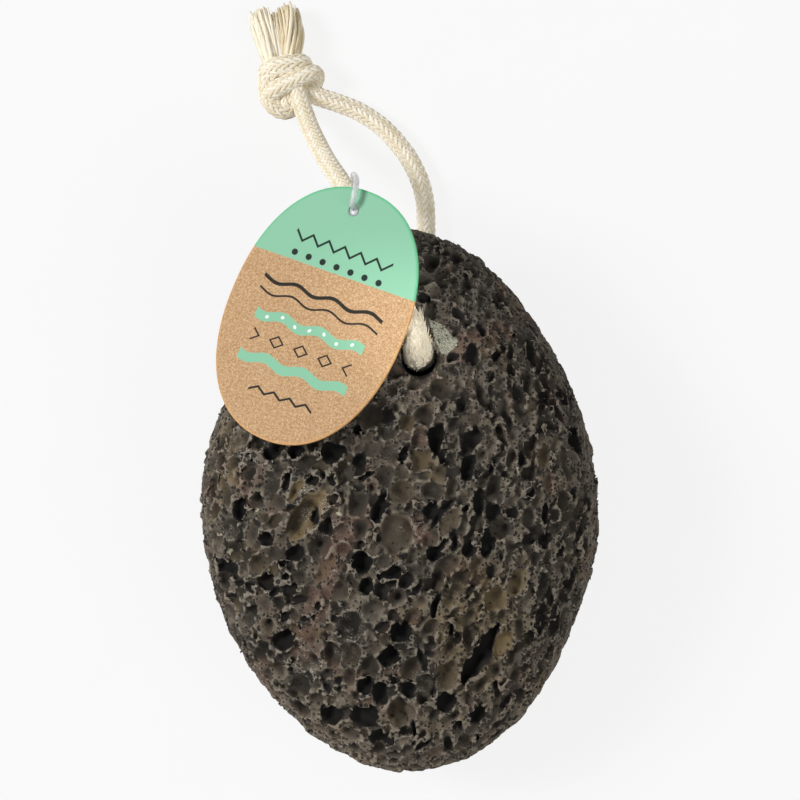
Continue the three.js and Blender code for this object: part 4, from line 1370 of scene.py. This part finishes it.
# %% [markdown]
# ## Glass
#
# Gases and rust have tinted the glass in broad patches, along one streak and in single bowls. The low end
# and the right side are made lighter, and the upper right darker as painted shade; depths, sheltered walls
# and the dark side of the tan bowl get painted shade too. Each layer has its own mask. The masks are noises,
# ellipses and smooth steps along X and Y, so they stay soft.


# %% Tints of the glass
BROWN_MIDDLE, BROWN_SIZE = (14, -21), (9, 13)
STREAK_MIDDLE, STREAK_WAY = (-14.5, -16.5), (-0.36, -0.934)
SHADE_MIDDLE, SHADE_WAY, SHADE_SIZE = (-19.0, -2.6), (0.57, 0.82), (5, 1.6)


def slanted(x, y, middle, way):
    """Distances from a middle along and beside a way, which is given by its cosine and sine."""
    across, up = x - middle[0], y - middle[1]
    return across * way[0] + up * way[1], across * way[1] - up * way[0]


def oval(along, aside, half_sizes):
    """0 in the middle of an oval, 1 on its edge and more outside."""
    return (along / half_sizes[0]) ** 2 + (aside / half_sizes[1]) ** 2


def glass_layers(f, where, x, y, grain, depth, shelter, tan):
    """Patches of noise, a lighter low end and right side, painted shade on the upper right, in depths and in
    shelter, then the streak, the tan bowls and painted shade in one of them.
    """
    broad = f.noise(where, 0.09, 2.0, 0.5)
    rust = f.noise(f.place(1.0, (31, 7, 3)), 0.12, 3.0, 0.55)
    ochre = f.noise(f.place(1.0, (5, 57, 13)), 0.1, 3.0, 0.55)
    brown = oval(x - BROWN_MIDDLE[0], y - BROWN_MIDDLE[1], BROWN_SIZE).rise(1.2, 0.3) * 0.85
    along, aside = slanted(x, y, STREAK_MIDDLE, STREAK_WAY)
    streak = aside.absolute().rise(3.4, 0.8) * along.absolute().rise(14, 11) * grain.rise(0.35, 0.55)
    shade = oval(*slanted(x, y, SHADE_MIDDLE, SHADE_WAY), SHADE_SIZE).rise(1.3, 0.4)
    return [
        (broad.rise(0.42, 0.6) * 0.5, "grey patches"),
        (rust.rise(0.54, 0.66) * 0.65, "rust patches"),
        ((ochre.rise(0.56, 0.7) * 0.65).most(brown * grain.rise(0.3, 0.6)), "ochre patches"),
        (y.rise(-24, -44) * 0.5, "low end"),
        # Painted shade: the upper right is darker.
        ((x + y).rise(28, 60) * 0.3, "upper right"),
        (x.rise(8, 20) * y.rise(24, 10) * 0.12, "right side"),
        # Painted shade, darker with depth under the skin and where rock shelters the wall.
        (depth.rise(0.15, 1.5) * 0.66, "painted shade deep down"),
        (shelter.rise(0.48, 0.72) * 0.35, "painted shade in shelter"),
        (streak * 0.6, "rust streak"),
        (tan * (0.5 + grain * 0.5), "tan bowls"),
        (shade * tan * 0.85, "shade in a bowl"),
    ]


# %% [markdown]
# ## Wear, painted glints and crystals
#
# Rubbing crushes the thin walls between bubbles to a pale powder, so rims are lighter than what they
# enclose, and more so towards the left as painted highlight. Tiny fresh breaks glitter in clusters, painted
# as glints, and a few pale crystals sit in the glass, speckled with painted glints.


# %% Wear
def wear_layers(f, x, grain, speckle, rim, worn_skin, ring, crystal):
    """Rims with little rock round them and the pores' rings, paler towards the left as painted highlight,
    then painted glints on rims, then the crystal spots with painted glints.
    """
    worn = rim.rise(0.43, 0.26) * (0.4 + worn_skin * 0.6) * (0.5 + grain.rise(0.3, 0.65) * 0.5)
    # The pores' pale rings join the worn rims, partly as painted highlight.
    worn = worn.most(ring * grain.rise(0.36, 0.62) * 0.5)
    clusters = f.noise(f.place(1.0, (17, 3, 29)), 0.13, 2.0, 0.5).rise(0.5, 0.62)
    # Painted glints: bright specks on thin rims, in clusters, more towards the left.
    painted_glint = speckle.rise(0.57, 0.66) * rim.rise(0.6, 0.46) * clusters * (0.3 + x.rise(14, -16) * 0.7)
    # Pale crystals, speckled with painted glints.
    glints = (crystal + speckle * 0.9).rise(0.62, 0.8) * crystal.rise(0.02, 0.2)
    return [
        # Worn rims, paler towards the left as painted highlight.
        (worn * (0.65 + x.rise(20, -10) * 0.2), "worn and highlit rims"),
        (painted_glint * 0.85, "painted glints"),
        (glints * 0.85, "crystals and glints"),
    ]


# %% Stone finish
def pumice_finish():
    """Glass with its tints and wear, painted glints and shade, black painted shade in pits and pores, and the
    pale chip over all of it.
    """
    f = Finish("pumice")
    names = ("rim", "shelter", "depth", "tone", "black", "tan", "chip", "crystal")
    rim, shelter, depth, tone, black, tan, chip, crystal = (f.attribute(name) for name in names)
    where = f.place()
    x, y = f.part(where, 0), f.part(where, 1)
    grain = f.noise(where, 2.2, 5.0, 0.65)
    speckle = f.noise(where, 5.0, 3.0, 0.6)
    bend = f.noise(where, 1.3, 2.0, 0.5, "Color")
    bent = f.node("VectorMath", {"operation": "MULTIPLY_ADD"}, {0: bend, 1: (0.5, 0.5, 0.5), 2: where})
    worn_skin = depth.rise(0.6, 0.15)
    pore, ring = fine_pores(f, bent, x, y, depth, worn_skin)
    mottle = (tone * 0.5 + grain * 0.5).rise(0.2, 0.85)
    # Painted shade: black where rock shelters a spot most, in black bubbles below the skin, and in the fine
    # pores.
    painted_black_shade = shelter.rise(0.65, 0.82).most(black * depth.rise(0.1, 0.5)).most(pore * 0.9)
    colour = stone_layers(
        f, rgb(*STONE_COLOURS["dark glass"]), (mottle, "pale glass"),
        *glass_layers(f, where, x, y, grain, depth, shelter, tan),
        *wear_layers(f, x, grain, speckle, rim, worn_skin, ring, crystal),
        (painted_black_shade * 0.96, "painted black shade"),
    )
    pale = stone_layers(
        f, rgb(*STONE_COLOURS["chip, dark"]), (speckle.rise(0.4, 0.6), "chip, pale"),
        (f.cells(bent, 1.3).rise(0.36, 0.24) * 0.8, "chip, dots"),
    )
    colour = f.mix((chip + grain).rise(0.35, 0.6), colour, pale)
    relief = f.bump(grain * 0.5 + speckle * 0.25 - pore, 0.5, 0.7)
    return f.surface(Base_Color=colour, Roughness=0.85, Normal=relief, Specular_IOR_Level=0.3)


# %% Stone piece
stone_values = {
    "rim": rim, "shelter": shelter, "depth": depth, "tone": tones[bubble], "black": painted_blackness[bubble],
    "tan": tans[bubble], "chip": chip_depth(stone_points), "crystal": crystal_share(stone_points),
}
stone_shape = (stone_points, [stone_triangles], stone_values)
add_piece("pumice_stone", stone_shape, pumice_finish(), ["stone"])
stone_miss = (np.array(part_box("stone")) / MM - [stone_points.min(0), stone_points.max(0)]).round(2)
print("stone against its solid, mm:", stone_miss.tolist())

# %% [markdown]
# ## Floor
#
# A pale sweep of paper lies under the object in a studio. A plane does for it. It glows a little, so that it
# stays pale without strong lamps, but not under the stone, where the glow would light the pits from below.

# %% Floor
FLOOR_SIDE = 6000.0
FLOOR_DROP = 0.2  # just under the lowest crumbs of the stone
FLOOR_GLOW = 0.84
UNDER_STONE = (34, 47)  # half sizes of the oval that doesn't glow


def floor_finish():
    """Grey paper whose glow rises from 0 inside an oval to 1 at its edge."""
    f = Finish("pale_floor")
    speck = f.noise(f.place(0.05), 1.0, 2.0)
    colour = f.mix(speck, rgb(88, 88, 88), rgb(92, 92, 92))
    where = f.place()
    beside = oval(f.part(where, 0), f.part(where, 1), UNDER_STONE) ** 0.5
    glow = f.mix(beside.rise(0.7, 1.0), (0, 0, 0, 1), (1, 1, 1, 1))
    return f.surface(
        Base_Color=colour, Roughness=0.9, Specular_IOR_Level=0.1, Emission_Color=glow,
        Emission_Strength=FLOOR_GLOW,
    )


floor_mesh = bpy.data.meshes.new("floor")
corner = FLOOR_SIDE / 2 * MM
floor_corners = [(-corner, -corner, 0), (corner, -corner, 0), (corner, corner, 0), (-corner, corner, 0)]
floor_mesh.from_pydata(floor_corners, [], [(0, 1, 2, 3)])
floor_mesh.materials.append(floor_finish())
floor = bpy.data.objects.new("floor", floor_mesh)
floor.location.z = -FLOOR_DROP * MM
bpy.context.scene.collection.objects.link(floor)
print("floor:", FLOOR_SIDE / 1000, "m wide")

# %% [markdown]
# ## Light
#
# A soft key light from the left shades the pits from one side, which is what makes them look deep. A wide
# weak one from the lower right fills in, a small spot picks out the cord at the mouth of the hole, and pale
# surroundings soften all shadows.

# %% Lamps
LAMP_DISTANCE = 1800.0
KEY_WAY, KEY_POWER, KEY_SIZE = (-0.95, 0.25, 0.95), 25.0, 500.0
FILL_WAY, FILL_POWER, FILL_SIZE = (0.9, -0.5, 1.2), 8.0, 1200.0
SPOT_WAY, SPOT_POWER, SPOT_SIZE = (0.45, -0.35, 1.0), 31.0, 12.0
SPOT_AIM, SPOT_DISTANCE, SPOT_CONE = (2.6, 32.8, 42.0), 600.0, np.radians(1.7)
SKY_STRENGTH = 0.34


def add_lamp(kind, name, way, power, distance=LAMP_DISTANCE, aim=(0, 0, 0)):
    """A lamp at a distance from aim in a direction, pointing back at it."""
    lamp = bpy.data.objects.new(name, bpy.data.lights.new(name, kind))
    lamp.data.energy = power
    back = Vector(way).normalized()
    lamp.location = Vector(aim) * MM + back * distance * MM
    lamp.rotation_mode = "QUATERNION"
    lamp.rotation_quaternion = back.to_track_quat("Z", "Y")
    bpy.context.scene.collection.objects.link(lamp)
    return lamp.data


add_lamp("AREA", "key", KEY_WAY, KEY_POWER).size = KEY_SIZE * MM
add_lamp("AREA", "fill", FILL_WAY, FILL_POWER).size = FILL_SIZE * MM
spot = add_lamp("SPOT", "mouth_spot", SPOT_WAY, SPOT_POWER, SPOT_DISTANCE, SPOT_AIM)
spot.spot_size = SPOT_CONE
spot.spot_blend = 1.0
spot.shadow_soft_size = SPOT_SIZE * MM
world = bpy.data.worlds.new("studio")
world.use_nodes = True
sky = world.node_tree.nodes["Background"]
sky.inputs["Color"].default_value = (1, 1, 1, 1)
sky.inputs["Strength"].default_value = SKY_STRENGTH
bpy.context.scene.world = world
print("lamps:", len(bpy.data.lights))
